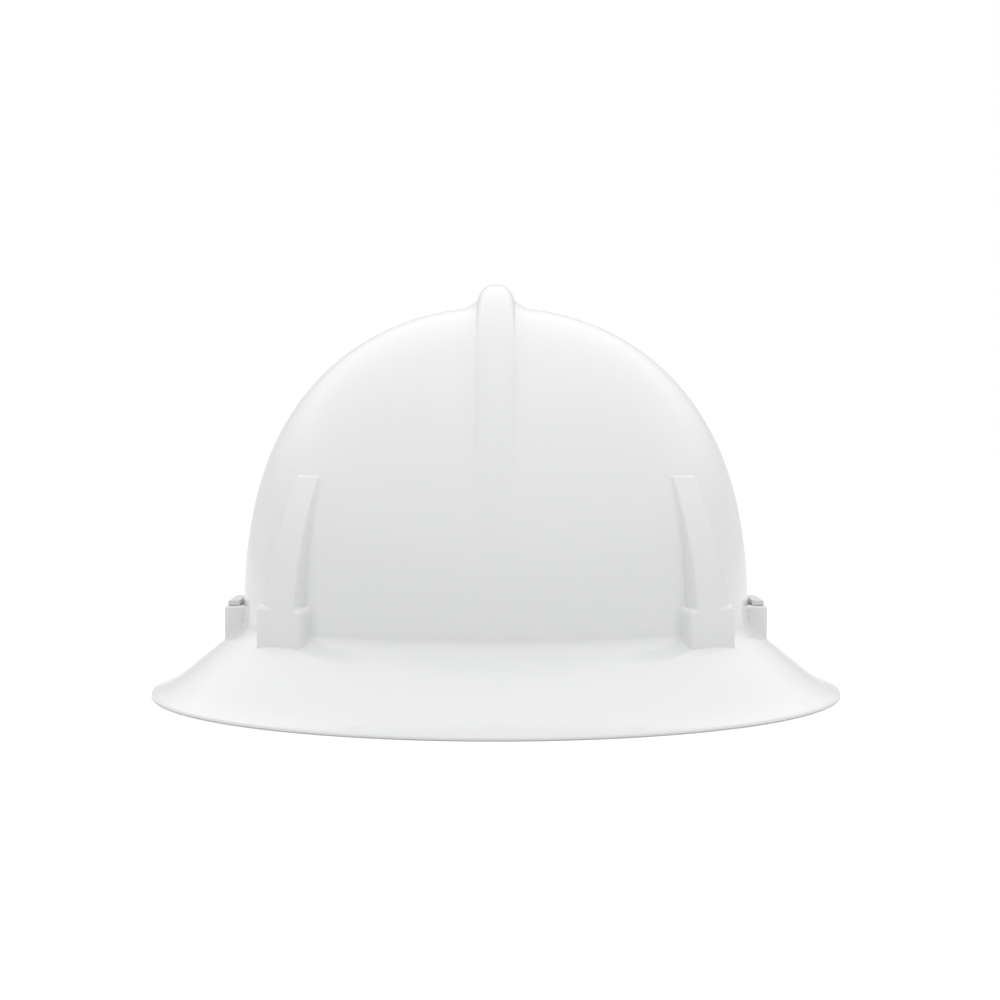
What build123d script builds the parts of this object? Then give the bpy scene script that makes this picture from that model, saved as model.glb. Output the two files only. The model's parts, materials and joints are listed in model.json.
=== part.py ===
from build123d import *
import math
import os

# Full brim hard hat: a moulded shell with a central crest, four suspension pockets and two
# accessory slots, and a four point strap suspension with a pinion and rack size adjuster.
# Millimetres, +Z up. The origin is the middle of the plane that the brim edge stands on, and
# the front of the hat faces -Y, so the wearer's left is +X.

# Fits and cutting
overrun = 2.0                # how far a cut runs past the face that it opens
seat_gap = 0.3               # between pieces that lie against each other
fit_gap = 0.15               # each side of a tongue in its slot
pin_gap = 0.06               # round a pin in its hole
snug_gap = 0.1               # between halves of one casing

# Brim
brim_half_width = 143.0
brim_half_length = 165.0
brim_edge_height = 1.6       # upright edge that the hat stands on
brim_rim_height = 4.8        # where the flatter rim turns into the steeper slope
brim_rim_width = 8.6
brim_rise = 28.2             # where the slope meets the dome
brim_blend = 4.0             # softness of the corner between brim and dome

# Dome
dome_half_width = 105.4
dome_half_length = 118.6
dome_base_height = 22.0
dome_top_height = 160.2
dome_side_power = 2.1
dome_rise_power = 2.65
dome_flat_share = 0.996      # share of the dome's rise at which the rings stop
shell_wall = 2.6
dome_ring_count = 11
blend_ring_count = 9
blend_ring_reach = 15.4      # how far below the corner the closer rings begin
slope_ring_count = 4
search_step_count = 40        # halvings when a height is searched for

# Crest
crest_top_height = 169.5
crest_half_width = 6.6
crest_half_length = 118.2
crest_edge_radius = 5.8
crest_point_count = 15

# Suspension pockets, one near each corner
pocket_angle = 34.0          # degrees from the width axis to the way that a pocket faces
pocket_lead = 5.2            # how far the pocket lies towards the end of the hat
pocket_width = 34.0
pocket_proud = 5.0
pocket_top_height = 41.0
pocket_edge_radius = 3.4
pocket_slot_thickness = 3.2
pocket_slot_width = 24.0
pocket_slot_top_height = 37.0
pocket_inner_wall = 2.0

# Stiffening ribs above the pockets
rib_base_proud = 4.8         # as far out as the pocket
rib_top_proud = 0.9
rib_base_width = 22.4
rib_top_width = 16.6
rib_top_height = 92.0
rib_base_place = 0.8         # how far its middle lies towards the end of the hat
rib_top_place = 3.7

# Accessory slots at the sides and the plugs that close them
lug_half_length = 18.0
lug_proud_half_width = 112.2
lug_bottom_height = 20.5
lug_top_height = 36.4
lug_end_radius = 5.0
lug_outer_wall = 1.9
slot_length = 30.0
slot_width = 3.8
slot_floor_height = 27.0
plug_flange_height = 1.9
plug_flange_overlap = 0.4
plug_flange_end_overlap = 1.4
plug_depth = 8.8

# Keys that clip the suspension into the pockets
key_tongue_top_gap = 1.0
key_bridge_height = 3.0
key_bridge_width = 17.0
key_leg_thickness = 3.0
key_leg_width = 23.0
key_leg_foot_height = 16.4
key_leg_top_height = 43.0
key_leg_wall_gap = 5.0
key_stud_hole_radius = 3.1
key_edge_radius = 1.2
stud_height = 22.0

# Crown straps and pad
strap_width = 19.0
strap_thickness = 1.4
strap_crown_height = 125.0
strap_foot_height = 30.0
strap_arc_foot_height = 37.0
crown_pad_radius = 34.0
crown_pad_thickness = 5.0

# Headband
band_radius = 77.2           # inside of the band at its round ends
band_thickness = 1.8
band_bottom_height = 4.0
band_top_height = 32.0
band_front_centre = -18.0
band_side_end = 13.0
hanger_thickness = 3.0
hanger_height = 11.0
hanger_plate_width = 14.0
hanger_plate_thickness = 2.0
hanger_stud_length = 3.0
hanger_arch_bottom_height = 33.0
hanger_arch_top_height = 41.0
hanger_arch_start = -8.0
hanger_arch_rise_length = 10.0
hanger_arch_drop_length = 24.0
brow_pad_thickness = 3.6
brow_pad_half_angle = 62.0
brow_pad_margin = 1.0

# Nape arms and the pins that they swing on
nape_centre = 14.0           # where the arc of the nape pieces has its centre
nape_height = 19.0           # middle height of the nape pieces
pivot_place = 4.0
pivot_radius = 2.5
pivot_head_radius = 4.5
pivot_head_thickness = 1.2
arm_thickness = 1.6
arm_height = 19.6

# Racks and pinion
tooth_module = 0.8
pinion_teeth = 12
tooth_tip_share = 0.72       # share of the module that a tooth stands past the pitch line
tooth_root_share = 1.15
tooth_base_share = 0.42      # share of the pitch that a tooth fills at its root
tooth_crest_share = 0.18
rack_thickness = 2.4
rack_strip_height = 4.0
rack_free_reach = 34.0       # from the pinion to the rack's free end
rack_held_reach = 19.0       # teeth on the other side of the pinion
rack_lap = 35.0              # plain tail under the arm, beyond the housing
pinion_shaft_radius = 3.0
pinion_pilot_radius = 2.0

# Ratchet housing and knob
housing_half_reach = 27.0
housing_height = 29.0
housing_base_thickness = 2.2
housing_cover_thickness = 2.2
housing_rail_height = 3.7
boss_radius = 13.4
boss_rise = 0.8
detent_outer_radius = 12.2
detent_inner_radius = 10.9
detent_tooth_depth = 0.7
detent_height = 2.4
detent_teeth = 24
knob_radius = 14.6
knob_depth = 11.5
knob_gap = 0.4
knob_scallops = 12
knob_scallop_radius = 2.6
knob_scallop_depth = 1.1
knob_edge_radius = 1.2
knob_recess_radius = 4.2
knob_recess_depth = 3.0
pawl_thickness = 1.6
pawl_hub_radius = 5.2
pawl_arm_width = 1.5
pawl_nose_gap = 0.35
screw_radius = 1.25
screw_head_radius = 3.1
screw_head_height = 1.7
screw_length = 8.0
screw_slot_width = 0.8
screw_slot_depth = 0.8
nape_pad_thickness = 3.5
nape_pad_half_reach = 33.0
nape_pad_height = 26.0

os.makedirs("parts", exist_ok=True)


def save(node, shape):
    """Write one node to its own file."""
    export_step(shape, "parts/" + node + ".step")


def softened_larger(first, second, softness):
    """The larger of two lengths, rounded where they are alike."""
    return (first + second + math.sqrt((first - second) ** 2 + softness ** 2)) / 2


def dome_half(height, half, top_height):
    """Half the dome's size along one axis at a height."""
    share = max(height - dome_base_height, 0) / (top_height - dome_base_height)
    return half * (1 - min(share, 1) ** dome_rise_power) ** (1 / dome_side_power)


def brim_half(height, half, dome_foot):
    """Half the brim's size along one axis at a height: a flat rim, then a steeper slope."""
    rim_inner = half - brim_rim_width
    if height <= brim_edge_height:
        return half
    if height <= brim_rim_height:
        share = (height - brim_edge_height) / (brim_rim_height - brim_edge_height)
        return half - brim_rim_width * share
    share = (height - brim_rim_height) / (brim_rise - brim_rim_height)
    return rim_inner - (rim_inner - dome_foot) * share


def shell_halves(height, inset):
    """Half width and half length of the shell's surface, or of its inside for an inset."""
    slope = math.atan2(brim_rise - brim_rim_height,
                       brim_half_width - brim_rim_width - dome_half_width)
    lifted = height + inset / math.cos(slope)
    halves = []
    for half, foot in ((brim_half_width, dome_half_width),
                       (brim_half_length, dome_half_length)):
        brim = brim_half(lifted, half, foot)
        dome = dome_half(height, foot - inset, dome_top_height - inset)
        halves.append(softened_larger(brim, dome, brim_blend))
    return halves


def plain_halves(height, inset):
    """The same without the brim: the dome carried straight down."""
    return [dome_half(height, half - inset, dome_top_height - inset)
            for half in (dome_half_width, dome_half_length)]


def oval_loft(heights, inset, halves_at, straight=False):
    """A solid through level ovals."""
    ovals = []
    for height in heights:
        half_width, half_length = halves_at(height, inset)
        ovals.append(Plane.XY.offset(height) * Ellipse(half_width, half_length))
    return loft(ovals, ruled=straight)


def even_heights(low, high, count):
    """Evenly spaced heights, both ends among them."""
    return [low + (high - low) * step / (count - 1) for step in range(count)]


def dome_heights(low, inset):
    """Heights that crowd towards the top, where the dome turns level."""
    high = dome_base_height + (dome_top_height - inset - dome_base_height) * dome_flat_share
    return [low + (high - low) * math.sin(math.pi / 2 * step / (dome_ring_count - 1))
            for step in range(dome_ring_count)]


def shell_form(inset):
    """The outer form of the shell for no inset, or the form of its hollow."""
    blend_low = brim_rise - blend_ring_reach
    blend_high = brim_rise + 2 * brim_blend
    slope_low = brim_rim_height - inset
    if inset:
        rim = oval_loft([-overrun / 2, slope_low], inset, shell_halves, True)
    else:
        rim = (oval_loft([0, brim_edge_height], inset, shell_halves, True)
               + oval_loft([brim_edge_height, slope_low], inset, shell_halves, True))
    heights = even_heights(slope_low, blend_low, slope_ring_count)
    heights += even_heights(blend_low, blend_high, blend_ring_count)[1:]
    heights += dome_heights(blend_high, inset)[1:]
    return rim + oval_loft(heights, inset, shell_halves)


def rib_halves(height, _inset):
    """The dome's form, larger by as much as a rib stands out at a height."""
    share = max(height - pocket_top_height, 0) / (rib_top_height - pocket_top_height)
    return plain_halves(height, -rib_base_proud - (rib_top_proud - rib_base_proud) * share)


def crest_form(inset):
    """The crest's side outline as an upright plate."""
    top = crest_top_height - inset
    half_length = crest_half_length - inset
    points = []
    for step in range(2 * crest_point_count + 1):
        turn = math.pi * step / (2 * crest_point_count)
        height = dome_base_height + (top - dome_base_height) * math.sin(turn)
        reach = dome_half(height, half_length, top)
        points.append((0, math.copysign(reach, math.cos(turn)), height))
    outline = Spline(*points)
    base = Line(points[-1], points[0])
    face = make_face([outline, base])
    plate = extrude(face, crest_half_width - inset, both=True)
    if inset:
        return plate
    rims = plate.edges().filter_by(GeomType.BSPLINE)
    return fillet(rims, crest_edge_radius)


def support(half_width, half_length, angle):
    """How far an oval reaches along a direction, and how far sideways it touches there."""
    across = half_width * math.cos(math.radians(angle))
    along = half_length * math.sin(math.radians(angle))
    reach = math.hypot(across, along)
    spread = (half_length ** 2 - half_width ** 2) * math.sin(math.radians(2 * angle)) / 2
    return reach, spread / reach


def inner_height_at(reach_wanted):
    """Height at which the hollow reaches a distance along the pocket's direction."""
    low = 0
    high = brim_rise
    for _ in range(search_step_count):
        middle = (low + high) / 2
        half_width, half_length = shell_halves(middle, shell_wall)
        reach, _spread = support(half_width, half_length, pocket_angle)
        if reach > reach_wanted:
            low = middle
        else:
            high = middle
    return low


def four_corners(shape):
    """A shape of the left rear corner and its three mirror images."""
    across = mirror(shape, Plane.YZ)
    return [shape, across, mirror(shape, Plane.XZ), mirror(across, Plane.XZ)]


def block(frame, x_from, x_to, y_from, y_to, z_from, z_to):
    """A box between six faces, given in a frame's own axes."""
    solid = Box(x_to - x_from, y_to - y_from, z_to - z_from,
                align=(Align.MIN, Align.MIN, Align.MIN))
    return frame * Pos(x_from, y_from, z_from) * solid


def rod(frame, radius, x_from, x_to):
    """A round bar along a frame's own x axis."""
    bar = Cylinder(radius, x_to - x_from, align=(Align.CENTER, Align.CENTER, Align.MIN))
    return frame * Pos(x_from, 0, 0) * Rot(0, 90, 0) * bar


def sector(centre, front, radius_in, radius_out, angle_from, angle_to, z_from, z_to):
    """Part of a level ring. Angles run from the way that it faces, towards the wearer's left."""
    way = -1 if front else 1

    def place(radius, angle):
        turn = math.radians(angle)
        return (radius * math.sin(turn), centre + way * radius * math.cos(turn))

    middle = (angle_from + angle_to) / 2
    outer = ThreePointArc(place(radius_out, angle_from), place(radius_out, middle),
                          place(radius_out, angle_to))
    inner = ThreePointArc(place(radius_in, angle_to), place(radius_in, middle),
                          place(radius_in, angle_from))
    sides = [Line(place(radius_out, angle_to), place(radius_in, angle_to)),
             Line(place(radius_in, angle_from), place(radius_out, angle_from))]
    face = make_face([outer, sides[0], inner, sides[1]])
    return Pos(0, 0, z_from) * extrude(face, z_to - z_from)


def degrees_along(length, radius):
    """The angle of a length along an arc."""
    return math.degrees(length / radius)


# Where a pocket lies: along its own direction, then sideways
pocket_reach, pocket_spread = support(dome_half_width, dome_half_length, pocket_angle)
pocket_place = pocket_spread + pocket_lead
pocket_face = pocket_reach + pocket_proud
slot_inner_face = pocket_reach - shell_wall + pocket_inner_wall
slot_outer_face = slot_inner_face + pocket_slot_thickness
pocket_turn = math.radians(pocket_angle)
pocket_frame = Rot(0, 0, pocket_angle) * Pos(0, pocket_place, 0)
slot_mouth_height = inner_height_at(slot_outer_face)
slot_outer_x = lug_proud_half_width - lug_outer_wall     # the accessory slot's outer wall

# Where a crown strap runs: through the keys of two opposite corners
strap_angle = pocket_angle + math.degrees(math.atan2(pocket_place, pocket_reach))
strap_frame = Rot(0, 0, strap_angle)
leg_outer_reach = math.hypot(pocket_reach, pocket_place) - shell_wall - key_leg_wall_gap
leg_inner_reach = leg_outer_reach - key_leg_thickness
key_foot_height = slot_mouth_height - seat_gap - key_bridge_height

# Radii of the nape pieces about their arc's centre, from the head outwards
band_outer_radius = band_radius + band_thickness
arm_inner_radius = band_outer_radius + seat_gap
arm_outer_radius = arm_inner_radius + arm_thickness
rack_outer_radius = arm_inner_radius - 2 * seat_gap
rack_inner_radius = rack_outer_radius - rack_thickness
rack_radius = (rack_inner_radius + rack_outer_radius) / 2
base_outer_radius = rack_inner_radius - seat_gap
base_inner_radius = base_outer_radius - housing_base_thickness
cover_outer_radius = arm_inner_radius + housing_cover_thickness
nape_pad_outer_radius = base_inner_radius - seat_gap
housing_half_angle = degrees_along(housing_half_reach, rack_radius)
pitch_radius = tooth_module * pinion_teeth / 2
tooth_pitch = math.pi * tooth_module
tooth_tip = tooth_module * tooth_tip_share
tooth_root = tooth_module * tooth_root_share
knob_axis = Pos(0, nape_centre, nape_height) * Rot(0, 0, 90)


def shell():
    """The moulded shell with its crest, pockets, ribs and slots."""
    body = shell_form(0) + crest_form(0)
    pocket = block(pocket_frame, dome_half_width / 2, pocket_face, -pocket_width / 2,
                   pocket_width / 2, brim_rim_height, pocket_top_height)
    outward = Axis((0, 0, 0), (math.cos(pocket_turn), math.sin(pocket_turn), 0))
    face_edges = pocket.edges().group_by(outward)[-1]
    lowest = face_edges.sort_by(Axis.Z)[0]
    pocket = fillet([edge for edge in face_edges if edge is not lowest], pocket_edge_radius)
    for corner in four_corners(pocket):
        body += corner
    skin = (oval_loft([brim_rise, pocket_top_height], 0, rib_halves)
            + oval_loft(even_heights(pocket_top_height, rib_top_height, blend_ring_count), 0,
                        rib_halves))
    outline = Polyline((rib_base_place - rib_base_width / 2, brim_rise),
                       (rib_base_place - rib_base_width / 2, pocket_top_height),
                       (rib_top_place - rib_top_width / 2, rib_top_height),
                       (rib_top_place + rib_top_width / 2, rib_top_height),
                       (rib_base_place + rib_base_width / 2, pocket_top_height),
                       (rib_base_place + rib_base_width / 2, brim_rise), close=True)
    wedge = extrude(make_face(outline), pocket_face)
    wedge = pocket_frame * Rot(0, 90, 90) * wedge
    for corner in four_corners(wedge & skin):
        body += corner
    lug = block(Location(), dome_half_width / 2, lug_proud_half_width, -lug_half_length,
                lug_half_length, lug_bottom_height, lug_top_height)
    lug = fillet(lug.edges().filter_by(Axis.Z).group_by(Axis.X)[-1], lug_end_radius)
    body += lug
    body += mirror(lug, Plane.YZ)
    body -= shell_form(shell_wall)
    body -= crest_form(shell_wall)
    slot = block(pocket_frame, slot_inner_face, slot_outer_face, -pocket_slot_width / 2,
                 pocket_slot_width / 2, 0, pocket_slot_top_height)
    for corner in four_corners(slot):
        body -= corner
    opening = block(Location(), slot_outer_x - slot_width, slot_outer_x, -slot_length / 2,
                    slot_length / 2, slot_floor_height, lug_top_height + overrun)
    body -= opening
    body -= mirror(opening, Plane.YZ)
    return body


def slot_plug():
    """The wearer's left plug: a tongue in the slot under a thin flange."""
    tongue = block(Location(), slot_outer_x - slot_width + fit_gap, slot_outer_x - fit_gap,
                   -slot_length / 2 + fit_gap, slot_length / 2 - fit_gap,
                   lug_top_height - plug_depth, lug_top_height + seat_gap)
    flange = block(Location(), slot_outer_x - slot_width - plug_flange_overlap,
                   slot_outer_x + plug_flange_overlap,
                   -slot_length / 2 - plug_flange_end_overlap,
                   slot_length / 2 + plug_flange_end_overlap,
                   lug_top_height + seat_gap, lug_top_height + seat_gap + plug_flange_height)
    flange = fillet(flange.edges().group_by(Axis.Z)[-1], plug_flange_overlap)
    return tongue + flange


def key():
    """The left rear key: a tongue in the pocket, a bridge under the wall and a leg inside."""
    tongue = block(pocket_frame, slot_inner_face + fit_gap, slot_outer_face - fit_gap,
                   -pocket_slot_width / 2 + fit_gap, pocket_slot_width / 2 - fit_gap,
                   key_foot_height, pocket_slot_top_height - key_tongue_top_gap)
    skew = math.radians(strap_angle - pocket_angle)
    bridge = block(pocket_frame, leg_inner_reach * math.cos(skew), slot_outer_face - fit_gap,
                   -key_bridge_width / 2, key_bridge_width / 2, key_foot_height,
                   key_foot_height + key_bridge_height)
    leg = block(strap_frame, leg_inner_reach, leg_outer_reach, -key_leg_width / 2,
                key_leg_width / 2, key_leg_foot_height, key_leg_top_height)
    leg_rims = leg.edges().group_by(Axis.Z)[-1].sort_by(SortBy.LENGTH)[-2:]
    leg = fillet(leg_rims, key_edge_radius)
    behind = block(strap_frame, 0, leg_inner_reach, -key_leg_width, key_leg_width,
                   0, key_leg_top_height)
    hole = rod(strap_frame * Pos(0, 0, stud_height), key_stud_hole_radius,
               leg_inner_reach - overrun, leg_outer_reach + overrun)
    return tongue + (bridge - behind) + leg - hole


def crown_strap(lift):
    """The strap from the right front to the left rear, or the one over it."""
    crown = strap_crown_height + lift
    reach = leg_inner_reach - seat_gap
    rise = crown - strap_arc_foot_height
    radius = (reach ** 2 + rise ** 2) / (2 * rise)
    outlines = []
    for inset in (0, strap_thickness):
        half = reach - inset
        arc = ThreePointArc((-half, strap_arc_foot_height), (0, crown - inset),
                            (half, strap_arc_foot_height))
        outlines.append((arc, half))
    (outer, outer_half), (inner, inner_half) = outlines
    edges = [outer, Line((outer_half, strap_arc_foot_height), (outer_half, strap_foot_height)),
             Line((outer_half, strap_foot_height), (inner_half, strap_foot_height)),
             Line((inner_half, strap_foot_height), (inner_half, strap_arc_foot_height)), inner,
             Line((-inner_half, strap_arc_foot_height), (-inner_half, strap_foot_height)),
             Line((-inner_half, strap_foot_height), (-outer_half, strap_foot_height)),
             Line((-outer_half, strap_foot_height), (-outer_half, strap_arc_foot_height))]
    strip = extrude(make_face(edges), strap_width / 2, both=True)
    return strap_frame * Rot(90, 0, 0) * strip, crown - radius, radius


def crown_pad():
    """A round cushion under the crossing of the straps."""
    _strip, centre, radius = crown_strap(0)
    outer = radius - strap_thickness - seat_gap
    cap = Pos(0, 0, centre) * (Sphere(outer) - Sphere(outer - crown_pad_thickness))
    column = Pos(0, 0, centre) * Cylinder(crown_pad_radius, 2 * radius)
    upper = block(Location(), -radius, radius, -radius, radius, centre, centre + 2 * radius)
    return cap & column & upper


def pin_hole(frame, x_from, x_to):
    """A cut for the nape pivot."""
    return rod(frame * Pos(0, pivot_place, nape_height), pivot_radius + pin_gap, x_from, x_to)


def headband():
    """The moulded band: the front arc, the straight sides and four hangers."""
    band = sector(band_front_centre, True, band_radius, band_outer_radius, -90, 90,
                  band_bottom_height, band_top_height)
    arch_end = hanger_end_y()
    side = Polyline((band_front_centre, band_bottom_height), (band_side_end, band_bottom_height),
                    (band_side_end, band_top_height - hanger_height / 2),
                    (band_side_end + hanger_arch_rise_length, hanger_arch_bottom_height),
                    (arch_end - hanger_arch_drop_length, hanger_arch_bottom_height),
                    (arch_end, stud_height - hanger_height / 2),
                    (arch_end, stud_height + hanger_height / 2),
                    (arch_end - hanger_arch_drop_length + hanger_height / 2,
                     hanger_arch_top_height),
                    (band_side_end, hanger_arch_top_height),
                    (hanger_arch_start, band_top_height), (band_front_centre, band_top_height),
                    close=True)
    plate = Rot(0, 90, 90) * extrude(make_face(side), band_thickness)
    plate = Pos(band_radius, 0, 0) * plate
    pivot = pin_hole(Location(), band_radius - overrun, band_outer_radius + overrun)
    plate = plate - pivot
    plate_reach = leg_inner_reach - seat_gap
    rear_end = block(strap_frame, plate_reach - hanger_plate_thickness, plate_reach,
                     rear_hanger_spread() - hanger_thickness, hanger_plate_width / 2,
                     stud_height - hanger_height / 2, stud_height + hanger_height / 2)
    stud = rod(strap_frame * Pos(0, 0, stud_height), key_stud_hole_radius - fit_gap,
               plate_reach - hanger_plate_thickness, plate_reach + hanger_stud_length)
    left = plate + rear_end + stud
    web = block(strap_frame, front_hanger_root(), plate_reach - hanger_plate_thickness / 2,
                -hanger_thickness / 2, hanger_thickness / 2,
                stud_height - hanger_height / 2, stud_height + hanger_height / 2)
    front_end = block(strap_frame, plate_reach - hanger_plate_thickness, plate_reach,
                      -hanger_plate_width / 2, hanger_plate_width / 2,
                      stud_height - hanger_height / 2, stud_height + hanger_height / 2)
    front = mirror(web + front_end + stud, Plane.XZ)
    left = left + front
    return band + left + mirror(left, Plane.YZ)


def front_hanger_root():
    """How far out a front hanger's web starts, just inside the band's outer face."""
    turn = math.radians(strap_angle)
    depth = -band_front_centre
    radius = band_outer_radius - band_thickness / 2
    across = depth * math.sin(turn)
    return across + math.sqrt(across ** 2 + radius ** 2 - depth ** 2)


def hanger_end_y():
    """Where the straight side meets the rear hanger's plate."""
    turn = math.radians(strap_angle)
    reach = leg_inner_reach - seat_gap - hanger_plate_thickness / 2
    return (reach - band_outer_radius * math.cos(turn)) / math.sin(turn)


def rear_hanger_spread():
    """How far sideways along the key's leg the straight side arrives."""
    turn = math.radians(strap_angle)
    return hanger_end_y() * math.cos(turn) - band_outer_radius * math.sin(turn)


def brow_pad():
    """The sweat pad inside the front of the band."""
    outer = band_radius - seat_gap
    return sector(band_front_centre, True, outer - brow_pad_thickness, outer,
                  -brow_pad_half_angle, brow_pad_half_angle,
                  band_bottom_height + brow_pad_margin, band_top_height - brow_pad_margin)


def nape_pivot():
    """The wearer's left pin, with a head each side."""
    frame = Pos(0, pivot_place, nape_height)
    shank = rod(frame, pivot_radius, band_radius - pivot_head_thickness,
                arm_outer_radius + seat_gap)
    inner = rod(frame, pivot_head_radius, band_radius - snug_gap - pivot_head_thickness,
                band_radius - snug_gap)
    outer = rod(frame, pivot_head_radius, arm_outer_radius + seat_gap,
                arm_outer_radius + seat_gap + pivot_head_thickness)
    outer = fillet(outer.edges().group_by(Axis.X)[-1], pivot_head_thickness / 2)
    return shank + inner + outer


def nape_arm():
    """The wearer's left arm, from its pivot back to the ratchet housing."""
    low = nape_height - arm_height / 2
    high = nape_height + arm_height / 2
    start = housing_half_angle + degrees_along(seat_gap, rack_radius)
    bow = sector(nape_centre, False, arm_inner_radius, arm_outer_radius, start, 90, low, high)
    side = block(Location(), arm_inner_radius, arm_outer_radius, pivot_place, nape_centre,
                 low, high)
    end = rod(Pos(0, pivot_place, nape_height), arm_height / 2, arm_inner_radius,
              arm_outer_radius)
    hole = pin_hole(Location(), arm_inner_radius - overrun, arm_outer_radius + overrun)
    return bow + side + end - hole


def tooth_outline(root, tip, pitch):
    """A tooth in its own plane: across, then along its height."""
    return Polyline((-pitch * tooth_base_share / 2, root), (-pitch * tooth_crest_share / 2, tip),
                    (pitch * tooth_crest_share / 2, tip), (pitch * tooth_base_share / 2, root),
                    close=True)


def rack(left):
    """A toothed strip: the left one runs over the pinion, the right one under it."""
    hand = 1 if left else -1
    root = pitch_radius + tooth_root
    tip = pitch_radius - tooth_tip
    free = -degrees_along(rack_free_reach, rack_radius)
    held = degrees_along(housing_half_reach + rack_lap, rack_radius)
    strip = sector(nape_centre, False, rack_inner_radius, rack_outer_radius, free, held,
                   root, root + rack_strip_height)
    first = math.ceil(-rack_free_reach / tooth_pitch)
    last = math.floor(rack_held_reach / tooth_pitch)
    for number in range(first, last):
        turn = degrees_along((number + 1 / 2) * tooth_pitch, rack_radius)
        face = make_face(tooth_outline(root + overrun / 2, tip, tooth_pitch))
        seat = Pos(0, nape_centre, 0) * Rot(0, 0, -turn) * Pos(0, rack_outer_radius, 0)
        strip += seat * Rot(90, 0, 0) * extrude(face, rack_thickness)
    if not left:
        strip = mirror(mirror(strip, Plane.YZ), Plane.XY)
    return Pos(0, 0, nape_height) * strip


def pinion():
    """The pinion with its shaft and its inner pilot."""
    face = Circle(pitch_radius - tooth_root).face()
    for number in range(pinion_teeth):
        outline = tooth_outline(pitch_radius - tooth_root - snug_gap, pitch_radius + tooth_tip,
                                tooth_pitch)
        face = face + Rot(0, 0, number * 360 / pinion_teeth) * make_face(outline)
    wheel = extrude(face, rack_thickness - 2 * snug_gap)
    wheel = knob_axis * Pos(rack_inner_radius + snug_gap, 0, 0) * Rot(0, 90, 90) * wheel
    shaft = rod(knob_axis, pinion_shaft_radius, rack_outer_radius - snug_gap, knob_face())
    pilot = rod(knob_axis, pinion_pilot_radius, base_inner_radius + snug_gap,
                rack_inner_radius + snug_gap)
    bore = rod(knob_axis, screw_radius, knob_face() - screw_length, knob_face())
    return wheel + shaft + pilot - bore


def boss_face():
    """Outer face of the cover's round boss."""
    return cover_outer_radius + boss_rise


def knob_foot():
    """The knob's inner rim."""
    return boss_face() + knob_gap


def knob_face():
    """The floor of the knob's outer recess, where the shaft ends."""
    return knob_foot() + knob_depth - knob_recess_depth


def housing_base():
    """The inner half of the ratchet housing, with the pilot hole."""
    low = nape_height - housing_height / 2
    high = nape_height + housing_height / 2
    plate = sector(nape_centre, False, base_inner_radius, base_outer_radius,
                   -housing_half_angle, housing_half_angle, low, high)
    hole = rod(knob_axis, pinion_pilot_radius + pin_gap, base_inner_radius - overrun,
               base_outer_radius + overrun)
    return plate - hole


def housing_cover():
    """The outer half: a curved plate, two rails, a round boss and the detent ring."""
    low = nape_height - housing_height / 2
    high = nape_height + housing_height / 2
    plate = sector(nape_centre, False, arm_inner_radius, cover_outer_radius,
                   -housing_half_angle, housing_half_angle, low, high)
    for rail_low in (low, high - housing_rail_height):
        plate += sector(nape_centre, False, base_outer_radius + snug_gap,
                        arm_inner_radius + snug_gap, -housing_half_angle, housing_half_angle,
                        rail_low, rail_low + housing_rail_height)
    boss = rod(knob_axis, boss_radius, arm_inner_radius + boss_rise, boss_face())
    ring = rod(knob_axis, detent_outer_radius, boss_face(), boss_face() + detent_height)
    hollow = Circle(detent_inner_radius).face()
    wedge = Polyline((-detent_tooth_depth, detent_inner_radius - snug_gap),
                     (0, detent_inner_radius + detent_tooth_depth),
                     (detent_tooth_depth, detent_inner_radius - snug_gap), close=True)
    for number in range(detent_teeth):
        hollow = hollow + Rot(0, 0, number * 360 / detent_teeth) * make_face(wedge)
    hollow = knob_axis * Pos(boss_face(), 0, 0) * Rot(0, 90, 90) * extrude(
        hollow, detent_height + overrun)
    hole = rod(knob_axis, pinion_shaft_radius + pin_gap, rack_inner_radius,
               boss_face() + overrun)
    return plate + boss + (ring - hollow) - hole


def knob():
    """The adjuster knob, scalloped round its rim and hollow over the detent ring."""
    body = rod(knob_axis, knob_radius, knob_foot(), knob_foot() + knob_depth)
    body = fillet(body.edges().group_by(Axis.Y)[-1], knob_edge_radius)
    for number in range(knob_scallops):
        turned = knob_axis * Rot(number * 360 / knob_scallops, 0, 0)
        reach = knob_radius + knob_scallop_radius - knob_scallop_depth
        body -= rod(turned * Pos(0, 0, reach), knob_scallop_radius, knob_foot() - overrun,
                    knob_foot() + knob_depth + overrun)
    hollow = rod(knob_axis, detent_outer_radius + knob_gap, knob_foot() - overrun,
                 boss_face() + detent_height + knob_gap)
    recess = rod(knob_axis, knob_recess_radius, knob_face(), knob_foot() + knob_depth + overrun)
    bore = rod(knob_axis, pinion_shaft_radius + pin_gap, knob_foot(), knob_face() + overrun)
    return body - hollow - recess - bore


def pawl():
    """The sprung pawl plate that clicks round the detent ring."""
    start = boss_face() + knob_gap
    hub = rod(knob_axis, pawl_hub_radius, start, start + pawl_thickness)
    reach = detent_inner_radius - pawl_nose_gap
    for half_turn in (0, 180):
        turned = knob_axis * Rot(half_turn, 0, 0)
        arm = block(turned, start, start + pawl_thickness, -pawl_arm_width / 2,
                    pawl_arm_width / 2, pawl_hub_radius - pawl_arm_width, reach - pawl_arm_width)
        bow = (rod(turned, reach, start, start + pawl_thickness)
               - rod(turned, reach - pawl_arm_width, start - overrun,
                     start + pawl_thickness + overrun))
        keep = block(turned, start, start + pawl_thickness, -pawl_arm_width / 2, reach,
                     pawl_arm_width, reach)
        hub += arm + (bow & keep)
    hole = rod(knob_axis, pinion_shaft_radius + pin_gap, start - overrun,
               start + pawl_thickness + overrun)
    return hub - hole


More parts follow.
